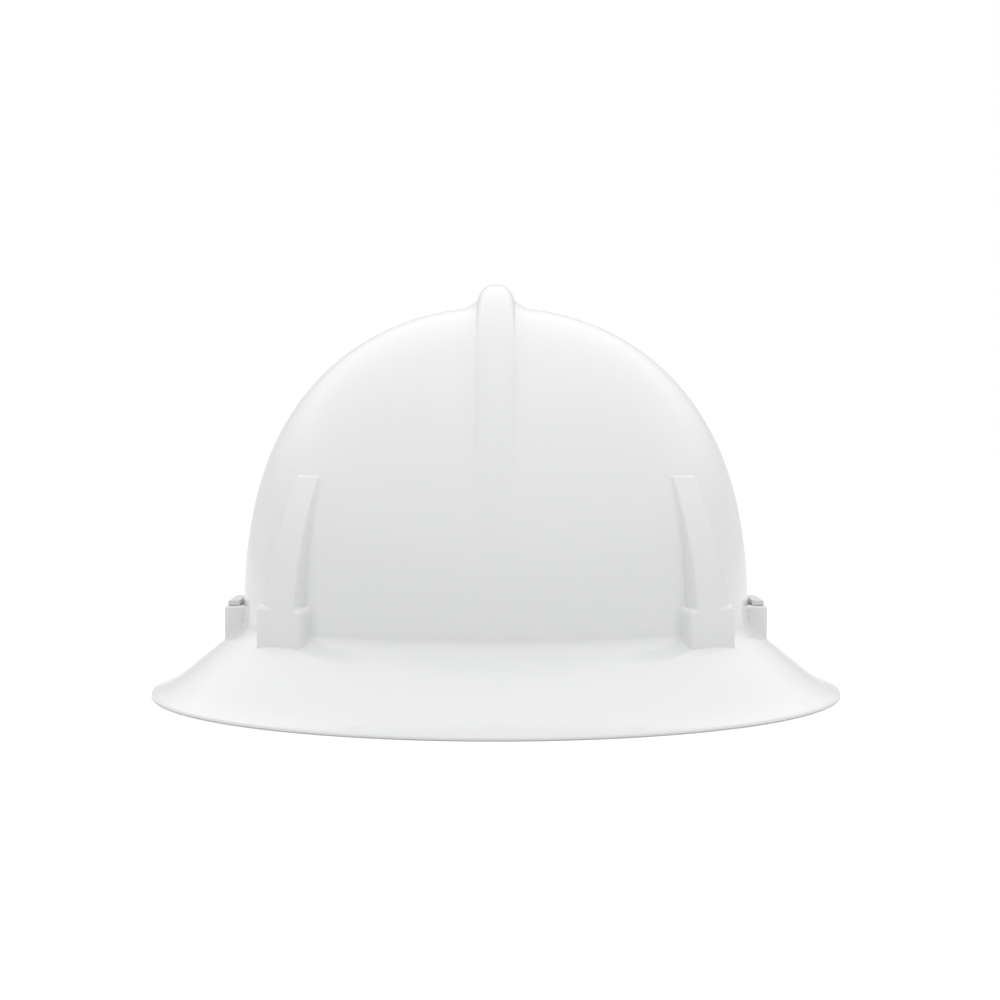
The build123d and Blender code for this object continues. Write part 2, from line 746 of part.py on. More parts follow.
def knob_screw():
    """The screw that holds the knob to the pinion's shaft."""
    head = rod(knob_axis, screw_head_radius, knob_face(), knob_face() + screw_head_height)
    shank = rod(knob_axis, screw_radius - pin_gap, knob_face() - screw_length + seat_gap,
                knob_face())
    groove = block(knob_axis, knob_face() + screw_head_height - screw_slot_depth,
                   knob_face() + screw_head_height + overrun, -screw_head_radius,
                   screw_head_radius, -screw_slot_width / 2, screw_slot_width / 2)
    return head + shank - groove


def nape_pad():
    """The cushion on the inside of the ratchet housing."""
    reach = degrees_along(nape_pad_half_reach, rack_radius)
    return sector(nape_centre, False, nape_pad_outer_radius - nape_pad_thickness,
                  nape_pad_outer_radius, -reach, reach, nape_height - nape_pad_height / 2,
                  nape_height + nape_pad_height / 2)


save("shell", shell())
save("slot_plug_left", slot_plug())
save("slot_plug_right", mirror(slot_plug(), Plane.YZ))
corner_names = ("rear_key_left", "rear_key_right", "front_key_left", "front_key_right")
for corner_name, corner_key in zip(corner_names, four_corners(key())):
    save(corner_name, corner_key)
lower_strap, _centre, _radius = crown_strap(0)
crossing_sag = strap_width ** 2 / (8 * leg_inner_reach)
upper_strap, _centre, _radius = crown_strap(strap_thickness + seat_gap + crossing_sag)
save("crown_strap_lower", lower_strap)
save("crown_strap_upper", mirror(upper_strap, Plane.YZ))
save("crown_pad", crown_pad())
save("headband", headband())
save("brow_pad", brow_pad())
save("nape_pivot_left", nape_pivot())
save("nape_pivot_right", mirror(nape_pivot(), Plane.YZ))
save("nape_arm_left", nape_arm())
save("nape_arm_right", mirror(nape_arm(), Plane.YZ))
save("rack_left", rack(True))
save("rack_right", rack(False))
save("pinion", pinion())
save("ratchet_housing_base", housing_base())
save("ratchet_housing_cover", housing_cover())
save("adjuster_knob", knob())
save("ratchet_pawl", pawl())
save("knob_screw", knob_screw())
save("nape_pad", nape_pad())
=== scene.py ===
"""Full brim hard hat: the finished look of every piece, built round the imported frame."""
import json
import logging
import math
from dataclasses import dataclass, field
from enum import Enum
from typing import Optional, Sequence, Union

import bmesh
import bpy
import numpy as np
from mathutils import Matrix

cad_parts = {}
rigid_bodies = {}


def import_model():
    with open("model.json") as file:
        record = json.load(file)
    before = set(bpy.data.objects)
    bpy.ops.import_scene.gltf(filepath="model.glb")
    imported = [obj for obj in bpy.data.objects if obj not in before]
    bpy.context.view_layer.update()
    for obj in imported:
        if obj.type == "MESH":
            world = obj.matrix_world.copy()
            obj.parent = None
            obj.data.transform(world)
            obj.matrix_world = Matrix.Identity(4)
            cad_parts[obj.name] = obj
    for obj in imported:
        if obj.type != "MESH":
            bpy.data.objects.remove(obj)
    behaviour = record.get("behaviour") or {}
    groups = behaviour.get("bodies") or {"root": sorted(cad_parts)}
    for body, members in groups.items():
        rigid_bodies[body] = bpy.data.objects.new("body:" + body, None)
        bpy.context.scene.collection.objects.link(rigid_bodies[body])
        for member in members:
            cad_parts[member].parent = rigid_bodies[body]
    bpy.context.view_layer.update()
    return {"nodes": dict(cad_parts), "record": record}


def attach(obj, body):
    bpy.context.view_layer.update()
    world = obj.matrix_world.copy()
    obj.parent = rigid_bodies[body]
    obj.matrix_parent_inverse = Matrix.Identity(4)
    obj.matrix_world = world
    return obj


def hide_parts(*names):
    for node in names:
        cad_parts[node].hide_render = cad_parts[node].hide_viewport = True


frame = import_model()

LOG = logging.getLogger("hard_hat")
MM = 0.001
Value = Union[float, "Wire"]


class Look(Enum):
    """How its mould left a plastic: bumps per metre, their detail, their depth in metres."""

    GLOSS = (120.0, 1.0, 0.00001)
    SATIN = (1400.0, 2.0, 0.00002)
    GRAINED = (1500.0, 0.0, 0.00005)


class Shape(Enum):
    """The small balls that are repeated over a piece, by their number of segments."""

    STITCH = 8
    DOT = 10


class Wire:
    """A number socket of a node tree, so that maths on it reads as maths."""

    def __init__(self, tree: bpy.types.NodeTree, socket: bpy.types.NodeSocket) -> None:
        """Keeps the tree and the output socket."""
        self.tree = tree
        self.socket = socket

    def _math(self, operation: str, *values: Value) -> "Wire":
        """The result of one Math node on one or two values."""
        return add(self.tree, "ShaderNodeMath", dict(enumerate(values)), operation=operation)[0]

    def __add__(self, other: Value) -> "Wire":
        """Sum."""
        return self._math("ADD", self, other)

    def __radd__(self, other: Value) -> "Wire":
        """Sum, with the number first."""
        return self._math("ADD", other, self)

    def __sub__(self, other: Value) -> "Wire":
        """Difference."""
        return self._math("SUBTRACT", self, other)

    def __rsub__(self, other: Value) -> "Wire":
        """Difference, with the number first."""
        return self._math("SUBTRACT", other, self)

    def __mul__(self, other: Value) -> "Wire":
        """Product."""
        return self._math("MULTIPLY", self, other)

    def __rmul__(self, other: Value) -> "Wire":
        """Product, with the number first."""
        return self._math("MULTIPLY", other, self)

    def sine(self) -> "Wire":
        """Sine of the value in radians."""
        return self._math("SINE", self)

    def larger(self, other: Value) -> "Wire":
        """The larger of two values."""
        return self._math("MAXIMUM", self, other)

    def limited(self) -> "Wire":
        """The value kept from zero to one."""
        return add(self.tree, "ShaderNodeClamp", {"Value": self})[0]


def connect(tree: bpy.types.NodeTree, node: bpy.types.Node, inputs: dict) -> None:
    """Links or sets inputs of a node.

    Args:
        tree: where the node is.
        node: the node.
        inputs: socket name or number to a value or a wire.
    """
    for name, value in inputs.items():
        if isinstance(value, Wire):
            tree.links.new(value.socket, node.inputs[name])
        else:
            node.inputs[name].default_value = value


def add(tree: bpy.types.NodeTree, kind: str, inputs: Optional[dict] = None,
        **settings: object) -> list:
    """Adds a node, sets it up and links or sets its inputs.

    Args:
        tree: where the node goes.
        kind: the node's type.
        inputs: socket name or number to a value or a wire.
        **settings: its own settings, set before its sockets.

    Returns:
        Its outputs, each as a wire.
    """
    node = tree.nodes.new(kind)
    for name, setting in settings.items():
        setattr(node, name, setting)
    connect(tree, node, inputs or {})
    return [Wire(tree, output) for output in node.outputs]


class Paint:
    """A material that is being made, with its principled shader and its coordinates."""

    def __init__(self, name: str) -> None:
        """Starts a fresh material.

        Args:
            name: the material's name.
        """
        self.material = bpy.data.materials.new(name)
        self.material.use_nodes = True
        self.tree = self.material.node_tree
        self.shader = self.tree.nodes["Principled BSDF"]
        self.uv, self.place = add(self.tree, "ShaderNodeTexCoord")[2:4]

    def shade(self, amount: Wire, low: Sequence[float], high: Sequence[float]) -> Wire:
        """A colour between two, by an amount from 0 to 1."""
        return add(self.tree, "ShaderNodeMix", {"Factor": amount, 6: (*low, 1.0),
                                                7: (*high, 1.0)}, data_type="RGBA")[2]

    def noise(self, scale: float, detail: float) -> Wire:
        """Noise of about 0 to 1 over the surface, by its bumps per metre and octaves."""
        return add(self.tree, "ShaderNodeTexNoise",
                   {"Vector": self.place, "Scale": scale, "Detail": detail})[0]

    def cells(self, scale: float) -> Wire:
        """Distance from the middle of the nearest cell, by the cells per metre."""
        return add(self.tree, "ShaderNodeTexVoronoi",
                   {"Vector": self.place, "Scale": scale})[0]

    def finish(self, height: Wire, depth: float, **inputs: object) -> bpy.types.Material:
        """Drives the normal by a height, and feeds the shader's other inputs.

        Args:
            height: 0 to 1.
            depth: the height of 1, in metres.
            **inputs: each input, by its name with underscores, as a number, colour or wire.

        Returns:
            The material.
        """
        normal = add(self.tree, "ShaderNodeBump",
                     {"Height": height, "Distance": depth, "Strength": 1.0})[0]
        named = {name.replace("_", " "): value for name, value in inputs.items()}
        connect(self.tree, self.shader, {"Normal": normal, **named})
        return self.material


@dataclass(frozen=True)
class MouldedPlastic:
    """A moulded plastic: its colour, and how its mould left it."""

    name: str
    colour: tuple
    look: Look
    roughness: float
    coat: float = 0.0

    def build(self) -> bpy.types.Material:
        """The material, with faint flow marks and a surface as moulded.

        Returns:
            The material.
        """
        paint = Paint(self.name)
        flow, handled = paint.noise(9.0, 3.0), paint.noise(60.0, 3.0)
        darker = tuple(x * 0.98 for x in self.colour)
        scale, detail, depth = self.look.value
        height = paint.noise(scale, detail) if detail else paint.cells(scale)
        return paint.finish(height, depth, Base_Color=paint.shade(flow, darker, self.colour),
                            Roughness=self.roughness * (0.85 + 0.3 * handled),
                            Coat_Weight=self.coat, Coat_Roughness=0.03, IOR=1.5)


@dataclass(frozen=True)
class Elastomer:
    """A soft moulded rubber with a smooth, slightly dusty skin."""

    name: str
    colour: tuple

    def build(self) -> bpy.types.Material:
        """The material, paler where dust lies.

        Returns:
            The material.
        """
        paint = Paint(self.name)
        dust = paint.noise(220.0, 4.0)
        paler = tuple(min(1.0, x * 1.1) for x in self.colour)
        return paint.finish(paint.noise(900.0, 2.0), 0.00003,
                            Base_Color=paint.shade(dust, self.colour, paler),
                            Roughness=0.3 + 0.15 * dust)


@dataclass(frozen=True)
class Webbing:
    """Woven strap: ribs across, yarns along, with painted highlight on the weave's crossings and
    painted shade in its hollows. Reads UV in metres.
    """

    name: str
    colour: tuple
    rib_pitch: float = 0.0016
    yarn_pitch: float = 0.0011

    def build(self) -> bpy.types.Material:
        """The material, from two crossed waves and some fuzz.

        Returns:
            The material.
        """
        paint = Paint(self.name)
        run = add(paint.tree, "ShaderNodeSeparateXYZ", {0: paint.uv})
        rib = (run[0] * (2 * math.pi / self.rib_pitch)).sine()
        yarn = (run[1] * (2 * math.pi / self.yarn_pitch)).sine()
        weave = (0.5 + 0.5 * rib * yarn).limited()
        fuzz = paint.noise(2500.0, 3.0)
        # painted light and shade: the colour follows the weave's relief, paler on its crossings
        # and darker in its hollows; the fuzz is random tone
        paler = tuple(x * 2.2 + 0.01 for x in self.colour)
        colour = paint.shade(weave * 0.7 + fuzz * 0.3, self.colour, paler)
        return paint.finish(weave + 0.3 * fuzz, 0.00022, Base_Color=colour,
                            Roughness=0.7 + 0.2 * fuzz, Sheen_Weight=0.25)


@dataclass(frozen=True)
class Knit:
    """Soft knitted cover over foam: rows of small loops, with lint."""

    name: str
    colour: tuple
    loop_scale: float = 900.0

    def build(self) -> bpy.types.Material:
        """The material, from loops, lint and wear, with painted shade in the loops' hollows.

        Returns:
            The material.
        """
        paint = Paint(self.name)
        loops = paint.cells(self.loop_scale)
        lint, worn = paint.noise(1600.0, 4.0), paint.noise(35.0, 3.0)
        # painted shade: half the colour follows the loops' relief, darker in their hollows; lint
        # and wear add real tone
        paler = tuple(x * 2.4 + 0.015 for x in self.colour)
        amount = (0.5 * loops + 0.3 * lint + 0.25 * worn).limited()
        return paint.finish(loops + 0.4 * lint, 0.0003,
                            Base_Color=paint.shade(amount, self.colour, paler),
                            Roughness=0.78 + 0.2 * lint, Sheen_Weight=0.4)


@dataclass(frozen=True)
class PlatedSteel:
    """Zinc plated steel with fine turning marks."""

    name: str
    colour: tuple

    def build(self) -> bpy.types.Material:
        """The material, duller along its marks.

        Returns:
            The material.
        """
        paint = Paint(self.name)
        marks = paint.noise(1800.0, 3.0)
        return paint.finish(marks, 0.00002, Base_Color=self.colour + (1.0,), Metallic=1.0,
                            Roughness=0.25 + 0.2 * marks)


@dataclass(frozen=True)
class StudioFloor:
    """A pale floor that reads as white in the picture and keeps a soft shadow."""

    name: str
    pale: float = 0.86
    lift: float = 0.30            # glow added to what the camera sees
    mirrored: float = 0.2         # share of that glow in reflections

    def build(self) -> bpy.types.Material:
        """The material.

        Returns:
            The material.
        """
        paint = Paint(self.name)
        grain = paint.noise(40.0, 2.0)
        colour = paint.shade(grain, (self.pale * 0.99,) * 3, (self.pale,) * 3)
        connect(paint.tree, paint.shader, {"Base Color": colour, "Roughness": 0.9,
                                           "Specular IOR Level": 0.1})
        paper = Wire(paint.tree, paint.shader.outputs[0])
        rays = add(paint.tree, "ShaderNodeLightPath")
        glow = add(paint.tree, "ShaderNodeEmission", {"Strength": self.lift})[0]
        both = add(paint.tree, "ShaderNodeAddShader", {0: paper, 1: glow})[0]
        seen = rays[0].larger(self.mirrored * rays[3])
        mixed = add(paint.tree, "ShaderNodeMixShader", {0: seen, 1: paper, 2: both})[0]
        connect(paint.tree, paint.tree.nodes["Material Output"], {"Surface": mixed})
        return paint.material


def stand(name: str, data: bpy.types.ID) -> bpy.types.Object:
    """Puts a mesh, lamp or camera into the scene as an object.

    Args:
        name: the object's name.
        data: what it shows.

    Returns:
        The object.
    """
    thing = bpy.data.objects.new(name, data)
    bpy.context.scene.collection.objects.link(thing)
    return thing


def settle(piece: bpy.types.Object, modifier: bpy.types.Modifier) -> None:
    """Makes a modifier's result the piece's own plain mesh.

    Args:
        piece: the object.
        modifier: its modifier, which is then taken off.
    """
    bpy.context.view_layer.update()
    ready = piece.evaluated_get(bpy.context.evaluated_depsgraph_get())
    plain = bpy.data.meshes.new_from_object(ready)
    piece.modifiers.remove(modifier)
    piece.data = plain


def points_of(mesh: bpy.types.Mesh) -> np.ndarray:
    """The points of a mesh, in metres.

    Args:
        mesh: the mesh.

    Returns:
        Its points, one to a row.
    """
    flat = np.zeros(len(mesh.vertices) * 3)
    mesh.vertices.foreach_get("co", flat)
    return flat.reshape(-1, 3)


@dataclass
class MeshPiece:
    """Vertices and faces that become one object."""

    name: str
    points: list = field(default_factory=list)
    faces: list = field(default_factory=list)
    places: list = field(default_factory=list)

    def grid(self, block: np.ndarray, closed: bool = False,
             uv: Optional[np.ndarray] = None) -> np.ndarray:
        """Adds a grid of points as quads.

        Args:
            block: rows by columns by 3, in metres.
            closed: whether each row runs round to its start.
            uv: rows by columns by 2, where the material reads it.

        Returns:
            The indices of the points, rows by columns.
        """
        rows, columns = block.shape[:2]
        first = sum(len(p) for p in self.points)
        index = first + np.arange(rows * columns).reshape(rows, columns)
        self.points.append(block.reshape(-1, 3))
        self.places.append(np.zeros((rows * columns, 2)) if uv is None else uv.reshape(-1, 2))
        after = np.roll(index, -1, axis=1)
        stop = columns if closed else columns - 1
        quads = np.stack([index[:-1, :stop], index[1:, :stop], after[1:, :stop],
                          after[:-1, :stop]], axis=-1)
        self.faces.extend(quads.reshape(-1, 4).tolist())
        return index

    def cap(self, ring: Sequence[int]) -> None:
        """Closes a ring of points with one face."""
        self.faces.append([int(i) for i in ring])

    def build(self, material: bpy.types.Material) -> bpy.types.Object:
        """Makes the object, merged, smooth and with its faces outwards.

        Args:
            material: its finish.

        Returns:
            The object, at the origin.
        """
        mesh = bpy.data.meshes.new(self.name)
        mesh.from_pydata(np.concatenate(self.points).tolist(), [], self.faces)
        layer = mesh.uv_layers.new(name="run")
        corners = np.zeros(len(mesh.loops), dtype=np.int32)
        mesh.loops.foreach_get("vertex_index", corners)
        layer.data.foreach_set("uv", np.concatenate(self.places)[corners].ravel())
        work = bmesh.new()
        work.from_mesh(mesh)
        bmesh.ops.remove_doubles(work, verts=work.verts, dist=2e-6)
        bmesh.ops.dissolve_degenerate(work, edges=work.edges, dist=1e-7)
        bmesh.ops.recalc_face_normals(work, faces=work.faces)
        work.to_mesh(mesh)
        work.free()
        mesh.polygons.foreach_set("use_smooth", [True] * len(mesh.polygons))
        mesh.materials.append(material)
        return stand(self.name, mesh)


@dataclass
class Repeats:
    """Copies of one small shape, set by a node tree on points that each carry a turn."""

    name: str
    shape: Shape
    length: float
    width: float
    height: float

    def _tree(self) -> bpy.types.NodeTree:
        """The node tree, with named inputs for the shape's sizes and material.

        Returns:
            The tree.
        """
        tree = bpy.data.node_groups.new(self.name + "_nodes", "GeometryNodeTree")
        for label, kind in (("Geometry", "Geometry"), ("Length", "Float"), ("Width", "Float"),
                            ("Height", "Float"), ("Finish", "Material")):
            tree.interface.new_socket(label, in_out="INPUT", socket_type="NodeSocket" + kind)
        tree.interface.new_socket("Geometry", in_out="OUTPUT",
                                  socket_type="NodeSocketGeometry")
        given = add(tree, "NodeGroupInput")
        unit = add(tree, "GeometryNodeMeshUVSphere",
                   {"Segments": self.shape.value, "Rings": 5, "Radius": 0.5})[0]
        size = add(tree, "ShaderNodeCombineXYZ", dict(enumerate(given[1:4])))[0]
        unit = add(tree, "GeometryNodeTransform", {"Geometry": unit, "Scale": size})[0]
        turn = add(tree, "GeometryNodeInputNamedAttribute", {"Name": "turn"},
                   data_type="FLOAT_VECTOR")[0]
        turn = add(tree, "FunctionNodeEulerToRotation", {0: turn})[0]
        copies = add(tree, "GeometryNodeInstanceOnPoints",
                     {"Points": given[0], "Instance": unit, "Rotation": turn})[0]
        real = add(tree, "GeometryNodeRealizeInstances", {"Geometry": copies})[0]
        smooth = add(tree, "GeometryNodeSetShadeSmooth", {"Geometry": real})[0]
        done = add(tree, "GeometryNodeSetMaterial",
                   {"Geometry": smooth, "Material": given[4]})[0]
        add(tree, "NodeGroupOutput", {0: done})
        return tree

    def build(self, spots: Sequence[tuple], material: bpy.types.Material) -> bpy.types.Object:
        """Sets the copies and turns the result into a plain mesh.

        Args:
            spots: for each copy its place, the way its length runs and the way it faces.
            material: the copies' finish.

        Returns:
            The object.
        """
        mesh = bpy.data.meshes.new(self.name)
        mesh.from_pydata([tuple(spot[0]) for spot in spots], [], [])
        turns = mesh.attributes.new("turn", "FLOAT_VECTOR", "POINT")
        angles = []
        for _place, along, out in spots:
            along, out = np.array(along, float), np.array(out, float)
            out = out / np.linalg.norm(out)
            along = along - out * np.dot(along, out)
            along = along / np.linalg.norm(along)
            side = np.cross(out, along)
            angles += [math.atan2(side[2], out[2]), -math.asin(max(-1, min(1, along[2]))),
                       math.atan2(along[1], along[0])]
        turns.data.foreach_set("vector", angles)
        piece = stand(self.name, mesh)
        tree = self._tree()
        modifier = piece.modifiers.new("copies", "NODES")
        modifier.node_group = tree
        values = {"Length": self.length, "Width": self.width, "Height": self.height,
                  "Finish": material}
        for item in tree.interface.items_tree:
            if item.name in values and item.in_out == "INPUT":
                modifier[item.identifier] = values[item.name]
        settle(piece, modifier)
        piece.data.name = self.name
        return piece


def steps(stops: Sequence[tuple]) -> np.ndarray:
    """A graded run of values.

    Args:
        stops: pairs of a value and how many steps lead up to it.

    Returns:
        The values, in order.
    """
    values = [stops[0][0]]
    for (low, _), (high, count) in zip(stops, stops[1:]):
        values += [low + (high - low) * (k + 1) / count for k in range(count)]
    return np.array(values)


def eased(share: np.ndarray) -> np.ndarray:
    """A smooth rise from 0 to 1 over a share kept within them."""
    kept = np.clip(share, 0.0, 1.0)
    return kept * kept * (3.0 - 2.0 * kept)


def rounded(share: np.ndarray) -> np.ndarray:
    """A quarter round's rise from 0 to 1 over a share."""
    return np.sqrt(np.clip(1 - (1 - share) ** 2, 0, 1))


def blend(pair: Sequence, share: np.ndarray) -> np.ndarray:
    """Between the two of a pair, by a share from 0 to 1."""
    return pair[0] + (pair[1] - pair[0]) * share


def bend(start: np.ndarray, middle: np.ndarray, end: np.ndarray, count: int) -> list:
    """Rows from a start to an end, along a curve that leans towards a middle."""
    return [start * (1 - t) ** 2 + middle * 2 * t * (1 - t) + end * t ** 2
            for t in steps([(0.0, 0), (1.0, count)])]


@dataclass
class Shell:
    """The moulded shell as a formula in millimetres. One corner is worked out and mirrored."""

    brim_half: tuple = (143.0, 165.0)
    dome_half: tuple = (105.4, 118.6)
    dome_base: float = 22.0
    dome_top: float = 160.2
    side_power: float = 2.1
    rise_power: float = 2.65
    brim_rise: float = 28.2       # height at which the brim's slope meets the dome
    rim_height: float = 4.8
    edge_height: float = 1.6
    rim_width: float = 8.6
    lip_radius: float = 0.75
    rim_shares: tuple = (0.45, 0.3, 0.1, 0.0)     # rows from the bend to the rim
    rim_drop: float = 0.05        # how far those rows lie under the slope
    corner_ease: float = 3.2      # reach of the fillet between dome and brim
    ease_shares: tuple = (0.11, 0.1)     # of the brim under that fillet, outside and inside
    crest_top: float = 169.5
    crest_half_length: float = 118.2
    crest_half_width: float = 7.6
    crest_side_power: float = 2.5
    crest_edge_power: float = 2.0
    crest_foot_reach: float = 8.0
    crest_foot_share: float = 0.36
    crest_foot_overlap: float = 0.5      # how far inside the crest's wall its foot starts
    crest_blend: float = 0.5      # how softly the crest's wall runs into its foot
    crest_hollow_share: float = 0.62
    pocket_angle: float = 39.1
    pocket_place: float = 7.65
    pocket_face: float = 115.4
    pocket_half_width: float = 15.15
    pocket_top: float = 41.0
    pocket_edges: tuple = (1.4, 3.0)     # radii of its upright edges and of its top edge
    rib_proud: tuple = (4.8, 0.9)        # at its base and at its top
    rib_half: tuple = (11.2, 7.7)
    rib_place: tuple = (0.0, 2.7)        # how far its middle lies towards the end
    rib_top: float = 91.0
    rib_edge: float = 0.9
    rib_columns: tuple = (10.4, 12.2, 13.4)       # close columns round a rib's side
    lug_face: float = 112.2
    lug_half_length: float = 18.0
    lug_top: float = 36.4
    lug_edges: tuple = (2.0, 1.0)
    side_wall: float = 0.3        # how far a box's upright wall leans
    foot_fillet: float = 1.2
    foot_height: float = 0.2      # height of the fillet at a box's foot
    margin: float = 4.0           # close columns beyond a box's wall
    lean_fade: tuple = (6.0, 32.0)       # above a rib's top: where the lean starts to end
    lean_reach: float = 34.0      # how far beside the pocket columns lean with its rib
    patch_height: float = 138.0   # above this the top of the dome is one square patch
    wall: float = 2.6
    brim_wall: float = 3.35       # measured upright
    bottom_width: float = 3.7
    bottom_rise: float = 0.15     # at the bottom's inner edge
    slot_length: float = 30.0
    slot_width: float = 3.8
    slot_floor: float = 27.0
    slot_outer: float = 110.3
    slot_clear: float = 8.0       # how far a slot's tool reaches above its box
    key_slot_angle: float = 34.0
    key_slot_place: float = 17.6
    key_slot_width: float = 24.0
    key_slot_reach: tuple = (109.1, 112.3)
    key_slot_heights: tuple = (4.0, 37.0)

    def halves(self, height: np.ndarray, inset: float) -> tuple:
        """Half width and half length of the plain dome at a height.

        Args:
            height: above the plane of the brim's edge.
            inset: how far inside the outer skin.

        Returns:
            The two half sizes.
        """
        rise = (height - self.dome_base) / (self.dome_top - inset - self.dome_base)
        scale = (1.0 - np.clip(rise, 0.0, 1.0) ** self.rise_power) ** (1.0 / self.side_power)
        return (self.dome_half[0] - inset) * scale, (self.dome_half[1] - inset) * scale

    def crest_places(self) -> np.ndarray:
        """Distances from the middle plane of the crest's columns, outermost first.

        Returns:
            The distances.
        """
        turns = np.radians(np.linspace(0.0, 80.0, 11))[1:]
        top = self.crest_half_width * np.sin(turns) ** (2.0 / self.crest_side_power)
        foot = self.crest_half_width + np.array([0.0, 0.2, 0.5, 0.9, 1.4, 2.0, 2.8, 3.8, 5.0,
                                                 6.5, 8.5])
        return np.concatenate([[0.0], top, foot])[::-1]

    def corner_turn(self, half_width: Union[float, np.ndarray],
                    half_length: Union[float, np.ndarray]) -> tuple:
        """The reach and turn that place a point of an oval sideways of the pocket's way.

        Args:
            half_width: of the oval.
            half_length: of the oval.

        Returns:
            The reach and the turn.
        """
        angle = math.radians(self.pocket_angle)
        across, along = half_width * math.sin(angle), half_length * math.cos(angle)
        return np.hypot(across, along), np.arctan2(across, along)

    def past(self, wall: float) -> list:
        """Steps beyond a box's upright wall: its lean, its fillet and the margin."""
        lean = wall + self.side_wall
        return [(lean, 3), (lean + self.foot_fillet, 3), (wall + self.margin, 2)]

    def columns(self) -> np.ndarray:
        """Turns of the columns from the side of the dome to its front, in radians.

        Returns:
            The turns.
        """
        wall, edge = self.lug_half_length, self.lug_half_length - self.lug_edges[0]
        lug = steps([(0.0, 0), (edge - 1.0, 5), (edge, 1), (wall, 6)] + self.past(wall))
        lug = np.arcsin(lug / self.dome_half[1])
        reach, lead = self.corner_turn(*self.dome_half)
        outer = self.pocket_half_width
        lean = outer + self.side_wall
        near, mid, far = self.rib_columns
        places = steps([(-outer - self.margin, 0), (-lean - self.foot_fillet, 2), (-lean, 3),
                        (-outer, 3), (-far, 6), (-mid, 3), (-near, 6), (near, 8), (mid, 6),
                        (far, 3), (outer, 6)] + self.past(outer))
        pocket = lead + np.arcsin((places + self.pocket_place) / reach)
        crest = np.arccos(self.crest_places() / self.dome_half[0])
        between = steps([(lug[-1], 0), (pocket[0], 10)])[1:-1]
        beyond = steps([(pocket[-1], 0), (crest[0], 18)])[1:-1]
        turns = np.concatenate([lug, between, pocket, beyond, crest])
        turns[np.argmin(np.abs(turns - math.pi / 4))] = math.pi / 4
        return turns

    def crest_edge_column(self) -> int:
        """Number of the crest's first column."""
        return len(self.columns()) - len(self.crest_places())

    def guided(self, x: np.ndarray, limit: np.ndarray, inset: float) -> np.ndarray:
        """Slides columns along the width, so that the crest's columns keep their places.

        Args:
            x: natural places of every column, falling towards the front's middle.
            limit: the place that doesn't move, at the patch's corner.
            inset: how far inside the outer skin.

        Returns:
            The new places.
        """
        first = self.crest_edge_column()
        share = self.crest_hollow_share if inset else 1.0
        goals = self.crest_places() * share
        moved = goals[0] + (x - x[..., first:first + 1]) * (limit - goals[0]) / (
            limit - x[..., first:first + 1])
        moved = np.where(x < limit, moved, x)
        moved[..., first:] = goals
        return moved

    def level_row(self, height: np.ndarray, inset: float) -> np.ndarray:
        """One row round a corner of the dome.

        Args:
            height: of the row, or of each of its points.
            inset: how far inside the outer skin.

        Returns:
            Its points.
        """
        turns = self.columns()
        height = np.broadcast_to(np.asarray(height, float), turns.shape)
        half_width, half_length = self.halves(height, inset)
        x = self.guided(half_width * np.cos(turns), half_width * math.cos(math.pi / 4), inset)
        turns = np.arccos(np.clip(x / half_width, 0.0, 1.0))
        if not inset:
            turns = self.leaned(turns, height, half_width, half_length)
        return np.stack([half_width * np.cos(turns), half_length * np.sin(turns), height],
                        axis=-1)

    def climb(self, height: np.ndarray) -> np.ndarray:
        """How far up a rib a height lies, from 0 at the pocket to 1 at its top."""
        return np.clip((height - self.pocket_top) / (self.rib_top - self.pocket_top), 0, 1)

    def leaned(self, turns: np.ndarray, height: np.ndarray, half_width: np.ndarray,
               half_length: np.ndarray) -> np.ndarray:
        """Turns of the columns once those over the pocket follow its rib.

        Args:
            turns: of the columns.
            height: of each point.
            half_width: of its oval.
            half_length: of its oval.

        Returns:
            The new turns.
        """
        climb = self.climb(height)
        hold = 1.0 - eased((height - self.rib_top - self.lean_fade[0]) / self.lean_fade[1])
        reach, lead = self.corner_turn(half_width, half_length)
        place = reach * np.sin(turns - lead) - self.pocket_place
        core = self.pocket_half_width + self.margin
        base, top = ((middle - half, middle + half)
                     for middle, half in zip(self.rib_place, self.rib_half))
        low, high = (blend(side, climb) for side in zip(base, top))
        inside = low + (high - low) * ((place - base[0]) / (base[1] - base[0]))
        edge, far = np.sign(place) * core, np.sign(place) * self.lean_reach
        edge_goal = low + (high - low) * (edge - base[0]) / (base[1] - base[0])
        outside = edge_goal + (place - edge) * (far - edge_goal) / (far - edge)
        goal = np.where(np.abs(place) <= core, inside,
                        np.where(np.abs(place) <= self.lean_reach, outside, place))
        goal = place + (goal - place) * hold
        return lead + np.arcsin(np.clip((goal + self.pocket_place) / reach, -1, 1))

    def normals(self, points: np.ndarray, inset: float) -> np.ndarray:
        """Outward directions of the plain dome.

        Args:
            points: on the dome.
            inset: how far inside the outer skin.

        Returns:
            A unit vector for each point.
        """
        half_width, half_length = self.dome_half[0] - inset, self.dome_half[1] - inset
        rise = self.dome_top - inset - self.dome_base
        x, y, z = points[..., 0], points[..., 1], points[..., 2]
        rho = np.maximum(np.hypot(x / half_width, y / half_length), 1e-6)
        share = np.clip((z - self.dome_base) / rise, 0, 1)
        slope = self.side_power * rho ** (self.side_power - 2.0)
        way = np.stack([slope * x / half_width ** 2, slope * y / half_length ** 2,
                        self.rise_power * share ** (self.rise_power - 1.0) / rise], axis=-1)
        return way / np.maximum(np.linalg.norm(way, axis=-1, keepdims=True), 1e-12)

    def side_outline(self, top: float, half_length: float) -> tuple:
        """A side outline as the turn and distance of its points from inside the dome.

        Args:
            top: its highest point.
            half_length: its half length at the base.

        Returns:
            The turns, rising, and the distances.
        """
        rise = np.sin(np.linspace(0.0, math.pi / 2, 500))
        reach = half_length * (1.0 - rise ** self.rise_power) ** (1.0 / self.side_power)
        up = (top - self.dome_base) * rise
        return np.arctan2(up, reach), np.hypot(up, reach)

